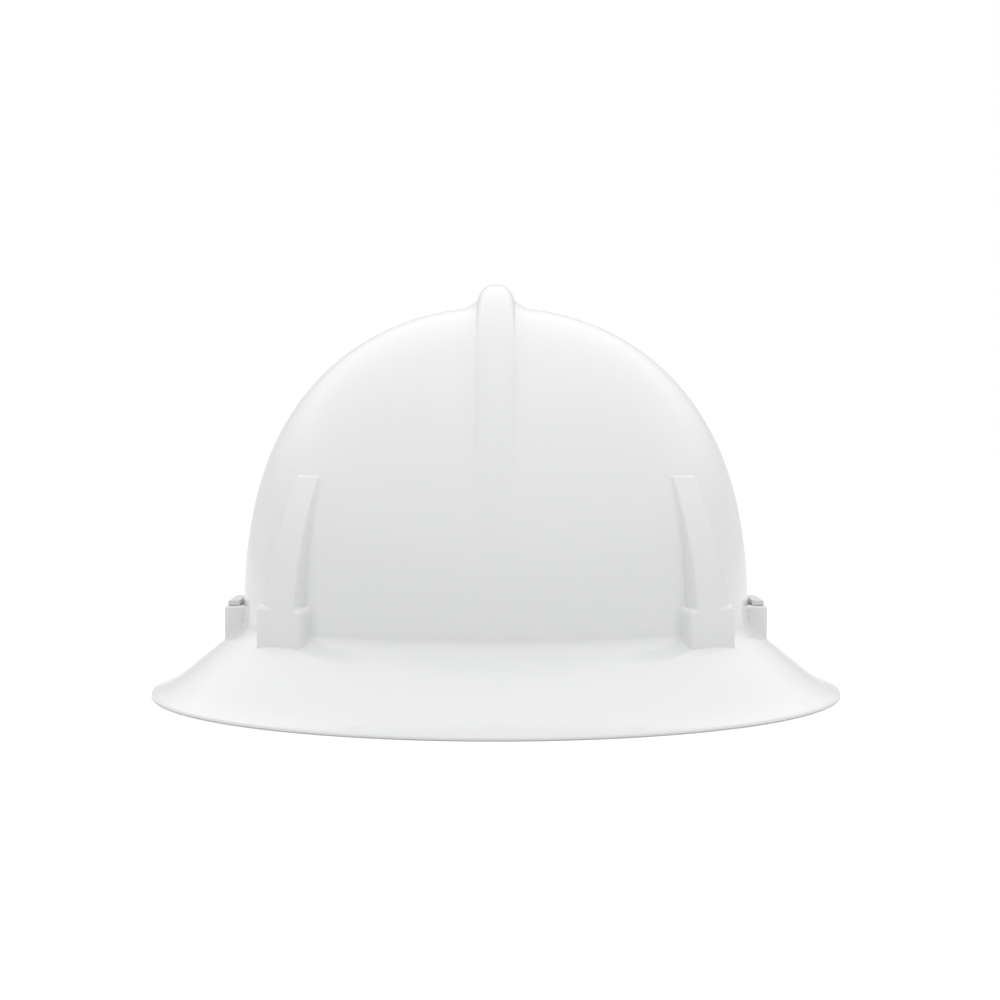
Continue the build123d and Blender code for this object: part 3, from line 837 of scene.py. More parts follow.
    def raise_crest(self, points: np.ndarray, inset: float) -> np.ndarray:
        """Moves points of the dome out to the crest, or to its hollow.

        Args:
            points: on the plain dome.
            inset: how far inside the outer skin.

        Returns:
            The moved points.
        """
        turn = np.arctan2(points[..., 2] - self.dome_base, np.abs(points[..., 1]))
        low = np.interp(turn, *self.side_outline(self.dome_top - inset,
                                                 self.dome_half[1] - inset))
        high = np.interp(turn, *self.side_outline(self.crest_top - inset,
                                                  self.crest_half_length - inset))
        gain = np.maximum(high - low, 0.0)
        share = self.crest_hollow_share if inset else 1.0
        across = np.abs(points[..., 0]) / share
        inner = np.clip(across / self.crest_half_width, 0, 1)
        top = (1.0 - inner ** self.crest_side_power) ** (1.0 / self.crest_edge_power)
        beside = across - self.crest_half_width + self.crest_foot_overlap
        away = np.clip(beside / self.crest_foot_reach, 0, 1)
        foot = self.crest_foot_share * (1.0 - away) ** 2
        section = (top + foot + np.sqrt((top - foot) ** 2 + (self.crest_blend * foot) ** 2)) / 2
        return points + self.normals(points, inset) * (gain * section)[..., None]

    def corner_places(self, points: np.ndarray) -> tuple:
        """Distances of points along and across the pocket's direction.

        Args:
            points: of the skin.

        Returns:
            The distances outwards, and those sideways from the pocket's middle.
        """
        angle = math.radians(self.pocket_angle)
        out = points[..., 0] * math.cos(angle) + points[..., 1] * math.sin(angle)
        across = -points[..., 0] * math.sin(angle) + points[..., 1] * math.cos(angle)
        return out, across - self.pocket_place

    def boxed(self, out: np.ndarray, side: np.ndarray, height: np.ndarray, face: float,
              half: float, top: float, edges: tuple) -> np.ndarray:
        """Distances outwards, once a box with rounded edges stands out of the surface.

        Args:
            out: distance outwards of each point.
            side: its distance sideways from the box's middle.
            height: its height.
            face: the box's outer face.
            half: half its length.
            top: its top.
            edges: the radii of its upright edges and of its top edge.

        Returns:
            The new distances.
        """
        beside = np.maximum(np.abs(side) - half + edges[0], 0) / edges[0]
        above = np.maximum(height - top + edges[1], 0) / edges[1]
        reach = np.hypot(beside, above)
        depth = (edges[0] * beside + edges[1] * above) / np.maximum(beside + above, 1e-9)
        drop = depth * (1.0 - np.sqrt(np.maximum(1.0 - np.minimum(reach, 1.0) ** 2, 0)))
        past = np.maximum(np.maximum(np.abs(side) - half, height - top), 0)
        lean = np.clip(np.maximum(past, (reach - 1.0) * depth) / self.side_wall, 0, 1)
        stand = (face - drop) * (1.0 - lean) + out * lean
        away = np.clip(((reach - 1.0) * depth - self.side_wall) / self.foot_fillet, 0, 1)
        foot = out + self.foot_height * (1.0 - away) ** 2 * (reach >= 1.0) * (face - depth > out)
        return np.maximum(np.maximum(out, stand), foot)

    def raise_details(self, points: np.ndarray) -> np.ndarray:
        """Moves points of the outer skin out to the ribs, the pockets and the side boxes.

        Args:
            points: of the outer skin.

        Returns:
            The moved points.
        """
        z = points[..., 2]
        _out, across = self.corner_places(points)
        climb = self.climb(z)
        half, middle = blend(self.rib_half, climb), blend(self.rib_place, climb)
        side = eased((half + self.rib_edge / 2 - np.abs(across - middle)) / self.rib_edge)
        below = eased((self.rib_top + self.rib_edge / 2 - z) / self.rib_edge)
        rib = blend(self.rib_proud, climb) * side * below
        rib = rib * (z > self.pocket_top - self.pocket_edges[1])
        moved = points + self.normals(points, 0.0) * rib[..., None]
        angle = math.radians(self.pocket_angle)
        out, across = self.corner_places(moved)
        gain = self.boxed(out, across, z, self.pocket_face, self.pocket_half_width,
                          self.pocket_top, self.pocket_edges) - out
        moved[..., 0] += gain * math.cos(angle)
        moved[..., 1] += gain * math.sin(angle)
        moved[..., 0] = self.boxed(moved[..., 0], moved[..., 1], z, self.lug_face,
                                   self.lug_half_length, self.lug_top, self.lug_edges)
        return moved

    def brim_row(self, turns: np.ndarray, share: float, low: float) -> np.ndarray:
        """A row of the brim's slope, from the dome's foot to the bend near its rim.

        Args:
            turns: of the columns.
            share: 0 at the foot, 1 at the bend.
            low: how far below the outer skin.

        Returns:
            Its points.
        """
        inner = [half - (self.wall if low else 0.0) for half in self.dome_half]
        outer = [half - self.rim_width for half in self.brim_half]
        x = blend((inner[0], outer[0]), share) * np.cos(turns)
        y = blend((inner[1], outer[1]), share) * np.sin(turns)
        slope = (self.brim_rise - self.rim_height) / (outer[0] - self.dome_half[0])
        start = self.brim_rise + (self.wall * slope if low else 0.0)
        z = np.full_like(x, blend((start, self.rim_height), share))
        return np.stack([x, y, z - low], axis=-1)

    def rim_row(self, turns: np.ndarray, inward: float, height: float) -> np.ndarray:
        """A row near the rim.

        Args:
            turns: of the columns.
            inward: how far inside the rim.
            height: of the row.

        Returns:
            Its points.
        """
        return np.stack([(self.brim_half[0] - inward) * np.cos(turns),
                         (self.brim_half[1] - inward) * np.sin(turns),
                         np.full_like(turns, height)], axis=-1)

    def outer_heights(self) -> np.ndarray:
        """Heights of the outer skin's level rows, close together at the ribs' tops and boxes.

        Returns:
            The heights, from the patch down.
        """
        top = self.pocket_top
        lug = self.lug_top
        return steps([(self.patch_height, 0), (95.0, 10), (92.6, 2), (90.0, 8), (86.0, 2),
                      (46.0, 11), (top + 1.6, 3), (top + self.side_wall, 3), (top, 3),
                      (top - self.pocket_edges[1], 8), (lug + self.side_wall, 3),
                      (lug, 3), (lug - self.lug_edges[1], 5), (34.0, 1)])

    def fillet(self, last: np.ndarray, inset: float, share: float, count: int) -> tuple:
        """The fillet from the dome's last level row to the brim's slope.

        Args:
            last: the dome's last row.
            inset: how far inside the outer skin.
            share: of the brim's slope, where the fillet ends.
            count: its number of steps.

        Returns:
            The turns of its columns, and its rows.
        """
        low = self.brim_wall if inset else 0.0
        half = self.halves(last[:, 2], inset)
        turns = np.arctan2(last[:, 1] / half[1], last[:, 0] / half[0])
        foot = self.brim_row(turns, 0.0, low)
        start = foot + (last - foot) * (self.corner_ease / (last[:, 2] - foot[:, 2]))[:, None]
        return turns, bend(start, foot, self.brim_row(turns, share, low), count)

    def outer_skin(self) -> tuple:
        """The corner's outer skin, from the patch's border to the rim's lowest row.

        Returns:
            Its points, and the turns of the brim's columns.
        """
        rows = [self.level_row(height, 0.0) for height in self.outer_heights()]
        last, ease_share = rows[-1], self.ease_shares[0]
        turns, fillet = self.fillet(last, 0.0, ease_share, 8)
        rows += [last + (fillet[0] - last) * share for share in (0.35, 0.7, 1.0)]
        rows += fillet[1:]
        rows += [self.brim_row(turns, share, 0.0)
                 for share in steps([(ease_share, 0), (0.34, 12), (0.84, 8)])[1:]]
        rim = [self.rim_row(turns, blend((self.lip_radius, self.rim_width), share),
                            blend((self.edge_height, self.rim_height), share) - self.rim_drop)
               for share in self.rim_shares]
        rows += bend(rows[-1], self.brim_row(turns, 1.0, 0.0), rim[0], 9)[1:-1] + rim
        return self.raise_details(self.raise_crest(np.stack(rows), 0.0)), turns

    def lip_rows(self, turns: np.ndarray) -> list:
        """Rows round the rim's edge, to the inner edge of its bottom.

        Args:
            turns: of the columns.

        Returns:
            The rows.
        """
        radius = self.lip_radius
        rows = [self.rim_row(turns, radius - radius * math.cos(angle),
                             self.edge_height - radius + radius * math.sin(angle))
                for angle in np.radians([65.0, 35.0, 8.0])]
        rows += [self.rim_row(turns, radius - radius * math.cos(angle),
                              radius - radius * math.sin(angle))
                 for angle in np.radians([0.0, 30.0, 60.0, 90.0])]
        return rows + [self.rim_row(turns, self.bottom_width - 0.5, 0.0),
                       self.rim_row(turns, self.bottom_width, self.bottom_rise)]

    def inner_skin(self, outer_turns: np.ndarray) -> np.ndarray:
        """The corner's inner skin, from the bottom's inner edge to the inner patch.

        Args:
            outer_turns: of the columns at the rim.

        Returns:
            Its points.
        """
        heights = steps([(self.patch_height - self.wall, 0), (96.0, 5), (40.0, 5), (33.0, 2)])
        rows = [self.level_row(height, self.wall) for height in heights]
        turns, fillet = self.fillet(rows[-1], self.wall, self.ease_shares[1], 5)
        rows += fillet
        for share in steps([(self.ease_shares[1], 0), (1.0, 6)])[1:]:
            rows.append(self.brim_row(blend((turns, outer_turns), share), share,
                                      self.brim_wall))
        return self.raise_crest(np.stack(rows), self.wall)[::-1]

    def patch(self, inset: float) -> np.ndarray:
        """The corner's share of the square patch over the top of the dome.

        Args:
            inset: how far inside the outer skin.

        Returns:
            Its points, by column along the width and row along the length.
        """
        turns = self.columns()
        corner = int(np.argmin(np.abs(turns - math.pi / 4)))
        v = math.sqrt(2.0) * np.sin(turns[:corner + 1])
        u = math.sqrt(2.0) * np.cos(turns)
        u[:corner] = 1.0
        half_width, half_length = self.halves(np.array(self.patch_height - inset), inset)
        spread = np.sqrt(1.0 - v ** 2 / 2.0)[:, None] * half_width
        x = self.guided(u[None, :] * spread, spread, inset)
        natural = x / spread
        y = half_length * v[:, None] * np.sqrt(1.0 - natural ** 2 / 2.0)
        x, y = x[:, corner:], y[:, corner:]
        x[-1], y[-1] = self.level_row(self.patch_height - inset, inset)[corner:, :2].T
        rho = np.hypot(x / (self.dome_half[0] - inset), y / (self.dome_half[1] - inset))
        rise = (1.0 - np.clip(rho, 0, 1) ** self.side_power) ** (1.0 / self.rise_power)
        z = self.dome_base + (self.dome_top - inset - self.dome_base) * rise
        return self.raise_crest(np.stack([x, y, z], axis=-1), inset)

    def build(self, material: bpy.types.Material) -> None:
        """Builds the shell, cuts its slots and seats it.

        Args:
            material: the shell's plastic.
        """
        outer, turns = self.outer_skin()
        skin = np.concatenate([outer, np.stack(self.lip_rows(turns)), self.inner_skin(turns)])
        mesh = MeshPiece("hat_shell")
        for sign in ((1, 1, 1), (-1, 1, 1), (1, -1, 1), (-1, -1, 1)):
            for block in (skin, self.patch(0.0), self.patch(self.wall)):
                mesh.grid(block * (np.array(sign) * MM))
        piece = mesh.build(material)
        self.cut_slots(piece)
        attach(piece, "root")
        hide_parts("shell")
        LOG.info("shell: %d faces", len(piece.data.polygons))

    def cut_slots(self, piece: bpy.types.Object) -> None:
        """Cuts the accessory slots and the four key slots.

        Args:
            piece: the shell.
        """
        cutter = bmesh.new()
        angle = math.radians(self.key_slot_angle)
        for side in (1, -1):
            self.block(cutter, (side * (self.slot_outer - self.slot_width / 2), 0.0), 0.0,
                       (self.slot_width, self.slot_length), self.slot_floor,
                       self.lug_top + self.slot_clear)
            for end in (1, -1):
                middle = sum(self.key_slot_reach) / 2
                x = middle * math.cos(angle) - self.key_slot_place * math.sin(angle)
                y = middle * math.sin(angle) + self.key_slot_place * math.cos(angle)
                depth = self.key_slot_reach[1] - self.key_slot_reach[0]
                self.block(cutter, (side * x, end * y), side * end * angle,
                           (depth, self.key_slot_width), *self.key_slot_heights)
        data = bpy.data.meshes.new("slots")
        bmesh.ops.recalc_face_normals(cutter, faces=cutter.faces)
        cutter.to_mesh(data)
        cutter.free()
        tool = stand("slots", data)
        modifier = piece.modifiers.new("slots", "BOOLEAN")
        modifier.operation = "DIFFERENCE"
        modifier.solver = "MANIFOLD"
        modifier.object = tool
        settle(piece, modifier)
        bpy.data.objects.remove(tool)

    def block(self, work: bmesh.types.BMesh, middle: tuple, turn: float, size: tuple,
              low: float, high: float) -> None:
        """Adds an upright block to a mesh.

        Args:
            work: the mesh.
            middle: its middle in plan.
            turn: its turn in plan.
            size: its depth and its width.
            low: its lowest height.
            high: its highest height.
        """
        corners = []
        for z in (low, high):
            for across, along in ((-1, -1), (1, -1), (1, 1), (-1, 1)):
                x, y = across * size[0] / 2, along * size[1] / 2
                corners.append(work.verts.new(
                    ((middle[0] + x * math.cos(turn) - y * math.sin(turn)) * MM,
                     (middle[1] + x * math.sin(turn) + y * math.cos(turn)) * MM, z * MM)))
        for face in ((0, 1, 2, 3), (4, 5, 6, 7), (0, 1, 5, 4), (1, 2, 6, 5), (2, 3, 7, 6),
                     (3, 0, 4, 7)):
            work.faces.new([corners[i] for i in face])


@dataclass(frozen=True)
class Puff:
    """Swells a pad by an inner pressure, as the foam under its cover does."""

    pressure: float = 4.0
    cap: float = 0.0007           # how far a point may move, in metres
    last: int = 20                # frames of the simulation
    mass: float = 0.002           # of each point, in kilograms

    def swell(self, piece: bpy.types.Object, held: np.ndarray) -> None:
        """Runs the cloth, limits its movement and keeps the result in the mesh.

        Args:
            piece: a closed pad, slightly smaller than it will be.
            held: for each of its points, whether its seam or backing holds it.
        """
        mesh = piece.data
        rest = points_of(mesh)
        group = piece.vertex_groups.new(name="held")
        group.add([int(i) for i in np.nonzero(held)[0]], 1.0, "REPLACE")
        modifier = piece.modifiers.new("cover", "CLOTH")
        cloth = modifier.settings
        cloth.quality = 5
        cloth.mass = self.mass
        cloth.use_pressure = True
        cloth.uniform_pressure_force = self.pressure
        cloth.effector_weights.gravity = 0.0
        cloth.vertex_group_mass = group.name
        modifier.collision_settings.use_collision = False
        modifier.point_cache.frame_start = 1
        modifier.point_cache.frame_end = self.last
        scene = bpy.context.scene
        for number in range(1, self.last + 1):
            scene.frame_set(number)
        ready = piece.evaluated_get(bpy.context.evaluated_depsgraph_get())
        change = points_of(ready.data) - rest
        length = np.linalg.norm(change, axis=1, keepdims=True)
        change *= np.minimum(1.0, self.cap / np.maximum(length, 1e-9))
        piece.modifiers.remove(modifier)
        piece.vertex_groups.remove(group)
        scene.frame_set(1)
        mesh.vertices.foreach_set("co", (rest + change).ravel())
        mesh.update()
        LOG.info("%s: swollen by up to %.2f mm, of %.2f mm", piece.name,
                 float(np.linalg.norm(change, axis=1).max()) / MM, float(length.max()) / MM)


@dataclass
class CrownStrap:
    """One webbing strap over the head, with its ends sewn behind the keys."""

    node: str
    heading: float                # degrees from the width axis
    lift: float = 0.0
    width: float = 19.0
    thickness: float = 1.4
    reach: float = 100.2
    arc_foot: float = 37.0
    foot: float = 30.0
    crown: float = 125.0
    hem_reach: float = 16.0       # how far the folded end is sewn
    end_inset: float = 2.0        # from the strap's end to the seam
    seam_inset: float = 2.2       # from the strap's edge to the seam
    stitch_pitch: float = 2.3

    def line(self) -> tuple:
        """The strap's outer side, seen from across it.

        Returns:
            Distances along its heading, heights, and the height of its arc's middle.
        """
        crown = self.crown + self.lift
        rise = crown - self.arc_foot
        radius = (self.reach ** 2 + rise ** 2) / (2 * rise)
        centre = crown - radius
        turn = math.asin(self.reach / radius)
        turns = np.linspace(-turn, turn, 121)
        drop = np.linspace(self.foot, self.arc_foot, 7)[:-1]
        along = np.concatenate([np.full(6, -self.reach), radius * np.sin(turns),
                                np.full(6, self.reach)])
        height = np.concatenate([drop, centre + radius * np.cos(turns), drop[::-1]])
        return along, height, centre

    def frames(self) -> tuple:
        """The strap's outer side, point by point.

        Returns:
            The points, the outward ways, the running lengths and the ways along it.
        """
        along, height, _centre = self.line()
        points = np.stack([along, height], axis=-1)
        way = np.gradient(points, axis=0)
        way /= np.linalg.norm(way, axis=1, keepdims=True)
        out = np.stack([-way[:, 1], way[:, 0]], axis=-1)
        run = np.concatenate([[0.0], np.cumsum(np.linalg.norm(np.diff(points, axis=0),
                                                              axis=1))])
        return points, out, run, way

    def placed(self, flat: np.ndarray, across: np.ndarray) -> np.ndarray:
        """Turns points of the strap's own plane to its heading.

        Args:
            flat: distances along its heading, and heights.
            across: distances across it.

        Returns:
            The points in the hat's frame, in metres.
        """
        turn = math.radians(self.heading)
        x = flat[..., 0] * math.cos(turn) - across * math.sin(turn)
        y = flat[..., 0] * math.sin(turn) + across * math.cos(turn)
        return np.stack([x, y, flat[..., 1]], axis=-1) * MM

    def build(self, webbing: bpy.types.Material, thread: bpy.types.Material) -> None:
        """Builds the strap and its stitches.

        Args:
            webbing: the strap's weave.
            thread: the sewing thread.
        """
        points, out, run, way = self.frames()
        half, deep, soft = self.width / 2, self.thickness, self.thickness / 2
        turns = np.linspace(-math.pi / 2, math.pi / 2, 6)
        edge = np.stack([half - soft + soft * np.cos(turns), soft * np.sin(turns) - soft],
                        axis=-1)
        flat = np.linspace(half - soft, -half + soft, 14)[1:-1]
        ring = np.concatenate([edge, np.stack([flat, np.zeros(12)], axis=-1),
                               (edge * (-1, 1))[::-1],
                               np.stack([flat[::-1], np.full(12, -deep)], axis=-1)])
        block = points[:, None, :] + out[:, None, :] * ring[None, :, 1:2]
        across = np.broadcast_to(ring[None, :, 0], block.shape[:2])
        uv = np.stack([np.broadcast_to(run[:, None], across.shape), across], axis=-1) * MM
        mesh = MeshPiece(self.node + "_webbing")
        index = mesh.grid(self.placed(block, across), True, uv)
        mesh.cap(index[0])
        mesh.cap(index[-1])
        piece = mesh.build(webbing)
        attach(piece, "root")
        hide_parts(self.node)
        self.sew(points, out, run, way, thread)
        LOG.info("%s: webbing %.0f mm long", self.node, run[-1])

    def sew(self, points: np.ndarray, out: np.ndarray, run: np.ndarray, way: np.ndarray,
            thread: bpy.types.Material) -> None:
        """Sews a boxed cross at each end and one over the crown.

        Args:
            points: along the strap's outer side.
            out: outward ways.
            run: running lengths.
            way: ways along the strap.
            thread: the sewing thread.
        """
        half, box, middle = self.width / 2 - self.seam_inset, self.hem_reach, run[-1] / 2
        origin = self.placed(np.zeros(2), np.array(0.0))
        spots = []
        for start, length in ((self.end_inset, box), (run[-1] - self.end_inset - box, box),
                              (middle - half, 2 * half)):
            corners = [(0, -half), (length, -half), (length, half), (0, half), (0, -half),
                       (length, half), (0, half), (length, -half)]
            for (a0, c0), (a1, c1) in zip(corners, corners[1:]):
                count = max(int(math.hypot(a1 - a0, c1 - c0) / self.stitch_pitch), 1)
                for share in (np.arange(count) + 0.5) / count:
                    at, across = start + blend((a0, a1), share), blend((c0, c1), share)
                    spot, facing, ahead = (
                        np.array([np.interp(at, run, table[:, k]) for k in (0, 1)])
                        for table in (points, out, way))
                    along = (self.placed(ahead * (a1 - a0), np.array(c1 - c0)) - origin) / MM
                    normal = (self.placed(facing, np.array(0.0)) - origin) / MM
                    spots += [(self.placed(spot + facing * level, np.array(across)), along,
                               normal) for level in (0.0, -self.thickness)]
        stitches = Repeats(self.node + "_stitches", Shape.STITCH, 0.0019, 0.0006, 0.0005)
        piece = stitches.build(spots, thread)
        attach(piece, "root")


@dataclass
class ArcPad:
    """A padded strip on the inside of a level arc, with sewn edges and rows of holes."""

    node: str
    body: str
    centre: float
    front: bool
    inner: float
    outer: float
    half_angle: float
    low: float
    high: float
    fill: float = 0.5
    edge: float = 0.55            # thickness at the sewn edge
    seam: float = 2.4             # from the pad's edge to its stitches
    groove: float = 0.5           # half width of the groove along them
    edge_round: float = 5.0       # how far in the long edges are rounded
    end_round: float = 6.0
    border: float = 0.18          # share of the height that has close rows, at each edge
    holds: tuple = (0.6, 3.0, 2.0)       # depth of the backing, long edges and ends held
    nap: float = 0.25             # how far the stitches stand off
    stitch_pitch: float = 3.0
    hole_pitch: float = 5.2
    hole_inset: float = 6.0       # from the pad's edge to the first row of holes

    def at(self, radius: np.ndarray, angle: np.ndarray, height: np.ndarray) -> np.ndarray:
        """Places on the pad's arcs, in the hat's frame.

        Args:
            radius: from the arc's middle.
            angle: from the hat's middle plane, in radians.
            height: above the plane of the brim's edge.

        Returns:
            The places, in metres.
        """
        way = -1.0 if self.front else 1.0
        return np.stack([radius * np.sin(angle), self.centre + way * radius * np.cos(angle),
                         height + 0.0 * radius], axis=-1) * MM

    def build(self, cover: bpy.types.Material, thread: bpy.types.Material,
              holes: bpy.types.Material) -> None:
        """Builds the pad, its stitches and its rows of holes.

        Args:
            cover: the pad's cover.
            thread: the sewing thread.
            holes: painted shade, the dark inside of the holes.
        """
        half = math.radians(self.half_angle)
        columns = np.linspace(-half, half, 120)
        rim = np.sin(np.linspace(0, math.pi / 2, 12)[1:]) * self.border
        rows = np.concatenate([[0.0], rim, np.linspace(self.border, 1 - self.border, 16)[1:-1],
                               1 - rim[::-1], [1.0]])
        puff_end = rounded(np.minimum(1.0, (half - np.abs(columns)) * self.outer
                                      / self.end_round))
        middle = self.outer - self.edge * 0.6
        inside, backing = [], []
        for share in rows:
            into = min(share, 1.0 - share) * (self.high - self.low)
            puff = rounded(np.minimum(into / self.edge_round, 1.0))
            body = self.edge + (self.outer - self.inner - 2 * self.edge) * puff * puff_end
            sewn = self.edge * math.exp(-((into - self.seam) / self.groove) ** 2)
            height = blend((self.low, self.high), share)
            for block, radius in ((inside, middle - body + sewn * puff_end),
                                  (backing, middle)):
                block.append(self.at(np.broadcast_to(radius, columns.shape), columns,
                                     np.full_like(columns, height)))
        mesh = MeshPiece(self.node + "_cushion")
        first = mesh.grid(np.stack(inside))
        second = mesh.grid(np.stack(backing))
        for a, b in ((first[0], second[0]), (first[-1], second[-1]),
                     (first[:, 0], second[:, 0]), (first[:, -1], second[:, -1])):
            for k in range(len(a) - 1):
                mesh.faces.append([int(a[k]), int(a[k + 1]), int(b[k + 1]), int(b[k])])
        piece = mesh.build(cover)
        Puff().swell(piece, self.held(points_of(piece.data) / MM))
        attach(piece, self.body)
        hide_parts(self.node)
        self.trim(thread, holes)
        LOG.info("%s: cushion", self.node)

    def held(self, points: np.ndarray) -> np.ndarray:
        """Which points the band behind the pad, or its sewn edge, holds.

        Args:
            points: of the pad, in millimetres.

        Returns:
            Whether each is held.
        """
        radius = np.hypot(points[:, 0], points[:, 1] - self.centre)
        angle = np.arctan2(np.abs(points[:, 0]), np.abs(points[:, 1] - self.centre))
        into = np.minimum(points[:, 2] - self.low, self.high - points[:, 2])
        end = (math.radians(self.half_angle) - angle) * self.outer
        backing, edge, tip = self.holds
        return (radius > self.outer - backing) | (into < edge) | (end < tip)

    def mark(self, radius: float, angle: float, height: float) -> tuple:
        """Where a small shape sits on the pad's inside, and how it lies.

        Args:
            radius: of its place.
            angle: of its place.
            height: of its place.

        Returns:
            Its place, the way along the arc and the way inwards.
        """
        spot, face = self.at(radius, angle, height), self.inner + self.edge + self.nap
        ahead = self.at(face, angle + 0.01, height)
        return spot, ahead - spot, self.at(face - 5, angle, height) - spot

    def trim(self, thread: bpy.types.Material, holes: bpy.types.Material) -> None:
        """Adds the stitches along both edges and the rows of breathing holes.

        Args:
            thread: the sewing thread.
            holes: painted shade, the dark inside of the holes.
        """
        half, skin = math.radians(self.half_angle), self.inner + self.edge
        stitches = [self.mark(skin + self.nap, angle, height)
                    for height in (self.low + self.seam, self.high - self.seam)
                    for angle in np.arange(-half + 0.05, half - 0.05,
                                           self.stitch_pitch / self.inner)]
        step, inset = self.hole_pitch / self.inner, self.hole_inset
        dots = [self.mark(skin, angle, height)
                for row, height in enumerate(np.linspace(self.low + inset,
                                                         self.high - inset, 4))
                for angle in np.arange(-half + 0.12 + (row % 2) * step / 2, half - 0.12, step)]
        sewn = Repeats(self.node + "_stitches", Shape.STITCH, 0.0022, 0.0007, 0.0005)
        piece = sewn.build(stitches, thread)
        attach(piece, self.body)
        # painted shade: flat dark dots stand for the shade inside the breathing holes
        punched = Repeats(self.node + "_holes", Shape.DOT, 0.0017, 0.0017, 0.0003)
        piece = punched.build(dots, holes)
        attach(piece, self.body)


@dataclass
class CrownPad:
    """The round cushion under the crossing, quilted in a ring and spokes."""

    radius: float = 34.0
    thickness: float = 5.0
    strap: CrownStrap = field(default_factory=lambda: CrownStrap("", 0.0))
    gap: float = 1.7              # from the strap's outer side to the pad
    ring: float = 0.55            # the quilted ring, as a share of the radius
    spokes: float = 0.6           # where the quilted spokes begin
    quilt: tuple = (0.9, 0.8)     # depth of the ring and of the spokes
    sunk: float = 0.8             # how much of that depth is taken
    groove: float = 0.035         # half width of the ring's groove, as a share of the radius
    fill: float = 0.6

    def build(self, cover: bpy.types.Material, thread: bpy.types.Material) -> None:
        """Builds the cushion and its quilting stitches.

        Args:
            cover: the pad's cover.
            thread: the sewing thread.
        """
        _along, _height, centre = self.strap.line()
        outer = self.strap.crown - centre - self.gap
        turns = np.linspace(0, 2 * math.pi, 97)[:-1]
        rows = []
        for side in (1, 0):
            shares = np.sin(np.linspace(0.02, math.pi / 2, 26))
            for share in (shares if side else shares[::-1]):
                edge = math.sqrt(max(1 - share ** 6, 0.0))
                quilt = (self.quilt[0] * math.exp(-((share - self.ring) / self.groove) ** 2)
                         + self.quilt[1] * np.exp(-(np.sin(turns * 3) * share * 6.0) ** 2)
                         * eased(np.array((share - self.spokes) / 0.1)))
                low = outer - self.thickness * (0.5 + 0.5 * edge) + quilt * self.sunk * edge
                reach = np.where(side, outer - self.thickness * 0.12 * (1 - edge), low)
                lean = np.arcsin(self.radius * share / outer)
                rows.append(np.stack([reach * np.sin(lean) * np.cos(turns),
                                      reach * np.sin(lean) * np.sin(turns),
                                      centre + reach * np.cos(lean)], axis=-1) * MM)
        mesh = MeshPiece("crown_cushion")
        index = mesh.grid(np.stack(rows), True)
        mesh.cap(index[0])
        mesh.cap(index[-1])
        piece = mesh.build(cover)
        points = points_of(piece.data) / MM
        share = np.hypot(points[:, 0], points[:, 1]) / self.radius
        upper = np.linalg.norm(points - (0, 0, centre), axis=1) > outer - 0.7
        sewn = (np.abs(share - self.ring) < 0.03) | (share > 0.97)
        Puff().swell(piece, upper | sewn)
        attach(piece, "root")
        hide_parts("crown_pad")
        lean = math.asin(self.radius * self.ring / outer)
        reach = outer - self.thickness + self.sunk * self.quilt[0]
        stitches = []
        for turn in np.linspace(0, 2 * math.pi, 45)[:-1]:
            way = np.array([math.sin(lean) * math.cos(turn), math.sin(lean) * math.sin(turn),
                            math.cos(lean)])
            spot = (way * reach + np.array([0, 0, centre])) * MM
            stitches.append((spot, (-math.sin(turn), math.cos(turn), 0.0), -way))
        sewn = Repeats("crown_cushion_stitches", Shape.STITCH, 0.0021, 0.0007, 0.0005)
        piece = sewn.build(stitches, thread)
        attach(piece, "root")
        LOG.info("crown_pad: cushion")


@dataclass
class Fittings:
    """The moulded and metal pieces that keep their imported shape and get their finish."""

    finishes: dict

    def dress(self) -> None:
        """Gives every kept node its material by the record's material slot."""
        slots = {part["node"]: part["material_slot"] for part in frame["record"]["subparts"]}
        for node, piece in frame["nodes"].items():
            finish = self.finishes.get(slots[node])
            if finish is None:
                continue
            if not piece.material_slots:
                piece.data.materials.append(finish)
            for holder in piece.material_slots:
                holder.material = finish
            LOG.info("%s: %s", node, finish.name)


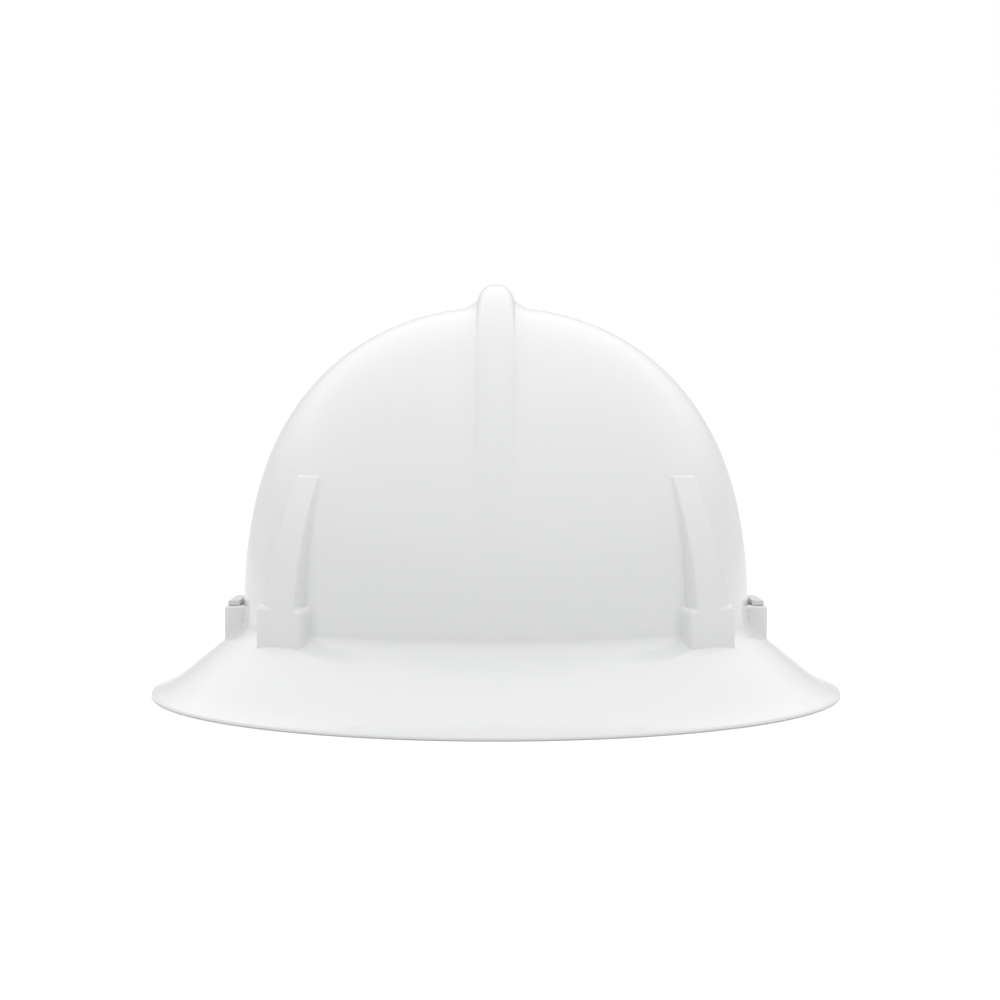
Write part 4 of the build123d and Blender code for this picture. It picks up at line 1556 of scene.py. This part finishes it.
@dataclass
class Studio:
    """The pale floor, the soft lamps and the camera of the photograph."""

    distance: float = 1.0         # from the camera to the hat's middle
    height: float = 0.1117
    aside: float = 0.00168
    pitch: float = 1.838          # degrees down
    lens: float = 85.8
    room: tuple = (0.56, 0.44)    # its light: at the horizon, and what the sky adds
    mirrored: tuple = (0.78, 0.34)       # the same in reflections

    def lamp(self, name: str, place: tuple, aim: tuple, size: tuple, power: float) -> None:
        """Adds a soft rectangular lamp.

        Args:
            name: the lamp's name.
            place: where it hangs.
            aim: the point that it faces.
            size: its width and height.
            power: in watts.
        """
        data = bpy.data.lights.new(name, "AREA")
        data.shape = "RECTANGLE"
        data.size, data.size_y = size
        data.energy = power
        lamp = stand(name, data)
        way = np.array(aim) - np.array(place)
        lamp.visible_glossy = False
        lamp.location = place
        lamp.rotation_euler = (math.atan2(math.hypot(way[0], way[1]), -way[2]), 0.0,
                               math.atan2(-way[0], way[1]))

    def build(self) -> None:
        """Builds floor, world, lamps and camera."""
        floor = MeshPiece("studio_floor")
        sides = np.linspace(-6.0, 6.0, 13)
        x, y = np.meshgrid(sides, sides, indexing="ij")
        floor.grid(np.stack([x, y, np.full_like(x, -0.0002)], axis=-1))
        piece = floor.build(StudioFloor("floor_paper").build())
        if piece.data.polygons[0].normal.z < 0:
            piece.data.flip_normals()
        self.sky()
        self.lamp("top_softbox", (0.0, -0.2, 2.2), (0.0, 0.0, 0.1), (1.8, 1.8), 8.5)
        self.lamp("right_softbox", (1.7, -0.5, 0.8), (0.0, 0.0, 0.1), (0.9, 1.3), 0.3)
        data = bpy.data.cameras.new("photo_camera")
        data.lens = self.lens
        data.sensor_width = 36.0
        camera = stand("photo_camera", data)
        camera.location = (self.aside, -self.distance, self.height)
        camera.rotation_euler = (math.radians(90.0 - self.pitch), 0.0, 0.0)
        bpy.context.scene.camera = camera
        bpy.context.scene.view_settings.view_transform = "Standard"

    def sky(self) -> None:
        """White to the camera, and a soft room in reflections and as light."""
        world = bpy.data.worlds.new("studio_room")
        bpy.context.scene.world = world
        world.use_nodes = True
        tree = world.node_tree
        way = add(tree, "ShaderNodeTexCoord")[0]
        height = add(tree, "ShaderNodeSeparateXYZ", {0: way})[2]
        level = self.room[0] + self.room[1] * height.larger(0.0)
        rays = add(tree, "ShaderNodeLightPath")
        mirrored = (4.0 * (height - 0.12)).limited()
        mirrored = self.mirrored[0] + self.mirrored[1] * mirrored
        level = level * (1.0 - rays[3]) + mirrored * rays[3]
        connect(tree, tree.nodes["Background"],
                {"Strength": level * (1.0 - rays[0]) + rays[0], "Color": (1.0, 1.0, 1.0, 1.0)})


FITTING_PLASTICS = {
    "key_plastic": ("key_nylon", (0.30, 0.32, 0.34), Look.GRAINED, 0.5),
    "band_plastic": ("band_polyethylene", (0.20, 0.21, 0.23), Look.SATIN, 0.42),
    "rack_plastic": ("rack_polyethylene", (0.17, 0.18, 0.20), Look.SATIN, 0.38),
    "housing_plastic": ("housing_black", (0.055, 0.055, 0.06), Look.GRAINED, 0.5),
    "knob_plastic": ("knob_black", (0.04, 0.04, 0.045), Look.SATIN, 0.36),
    "gear_plastic": ("acetal", (0.80, 0.79, 0.75), Look.SATIN, 0.3),
    "pin_plastic": ("pin_nylon", (0.30, 0.32, 0.34), Look.SATIN, 0.4),
}


def main() -> None:
    """Builds the hat piece by piece, then the studio."""
    logging.basicConfig(level=logging.INFO)
    for thing in list(bpy.data.objects):
        if thing.type in ("LIGHT", "CAMERA"):
            bpy.data.objects.remove(thing)
    shell_plastic = MouldedPlastic("white_shell_plastic", (0.86, 0.87, 0.868), Look.GLOSS,
                                   0.22, 1.0).build()
    webbing = Webbing("grey_webbing", (0.10, 0.11, 0.125)).build()
    cover = Knit("charcoal_knit", (0.045, 0.047, 0.055)).build()
    thread = MouldedPlastic("pale_thread", (0.42, 0.44, 0.46), Look.SATIN, 0.6).build()
    # painted shade: a near-black finish for the dots that stand for the shade inside the pads'
    # holes
    hole_shade = MouldedPlastic("hole_shadow", (0.01, 0.01, 0.012), Look.SATIN, 0.9).build()
    Shell().build(shell_plastic)
    for strap in (CrownStrap("crown_strap_lower", 43.2),
                  CrownStrap("crown_strap_upper", -43.2, lift=2.15)):
        strap.build(webbing, thread)
    CrownPad().build(cover, thread)
    ArcPad("brow_pad", "root", -18.0, True, 73.3, 76.9, 62.0, 5.0, 31.0).build(
        cover, thread, hole_shade)
    ArcPad("nape_pad", "nape_carriage", 14.0, False, 70.0, 73.5, 24.4, 6.0, 32.0).build(
        cover, thread, hole_shade)
    Fittings({
        **{slot: MouldedPlastic(*row).build() for slot, row in FITTING_PLASTICS.items()},
        "plug_rubber": Elastomer("grey_plug_rubber", (0.72, 0.73, 0.73)).build(),
        "screw_steel": PlatedSteel("zinc_plate", (0.62, 0.62, 0.60)).build(),
    }).dress()
    Studio().build()


if __name__ == "__main__":
    main()
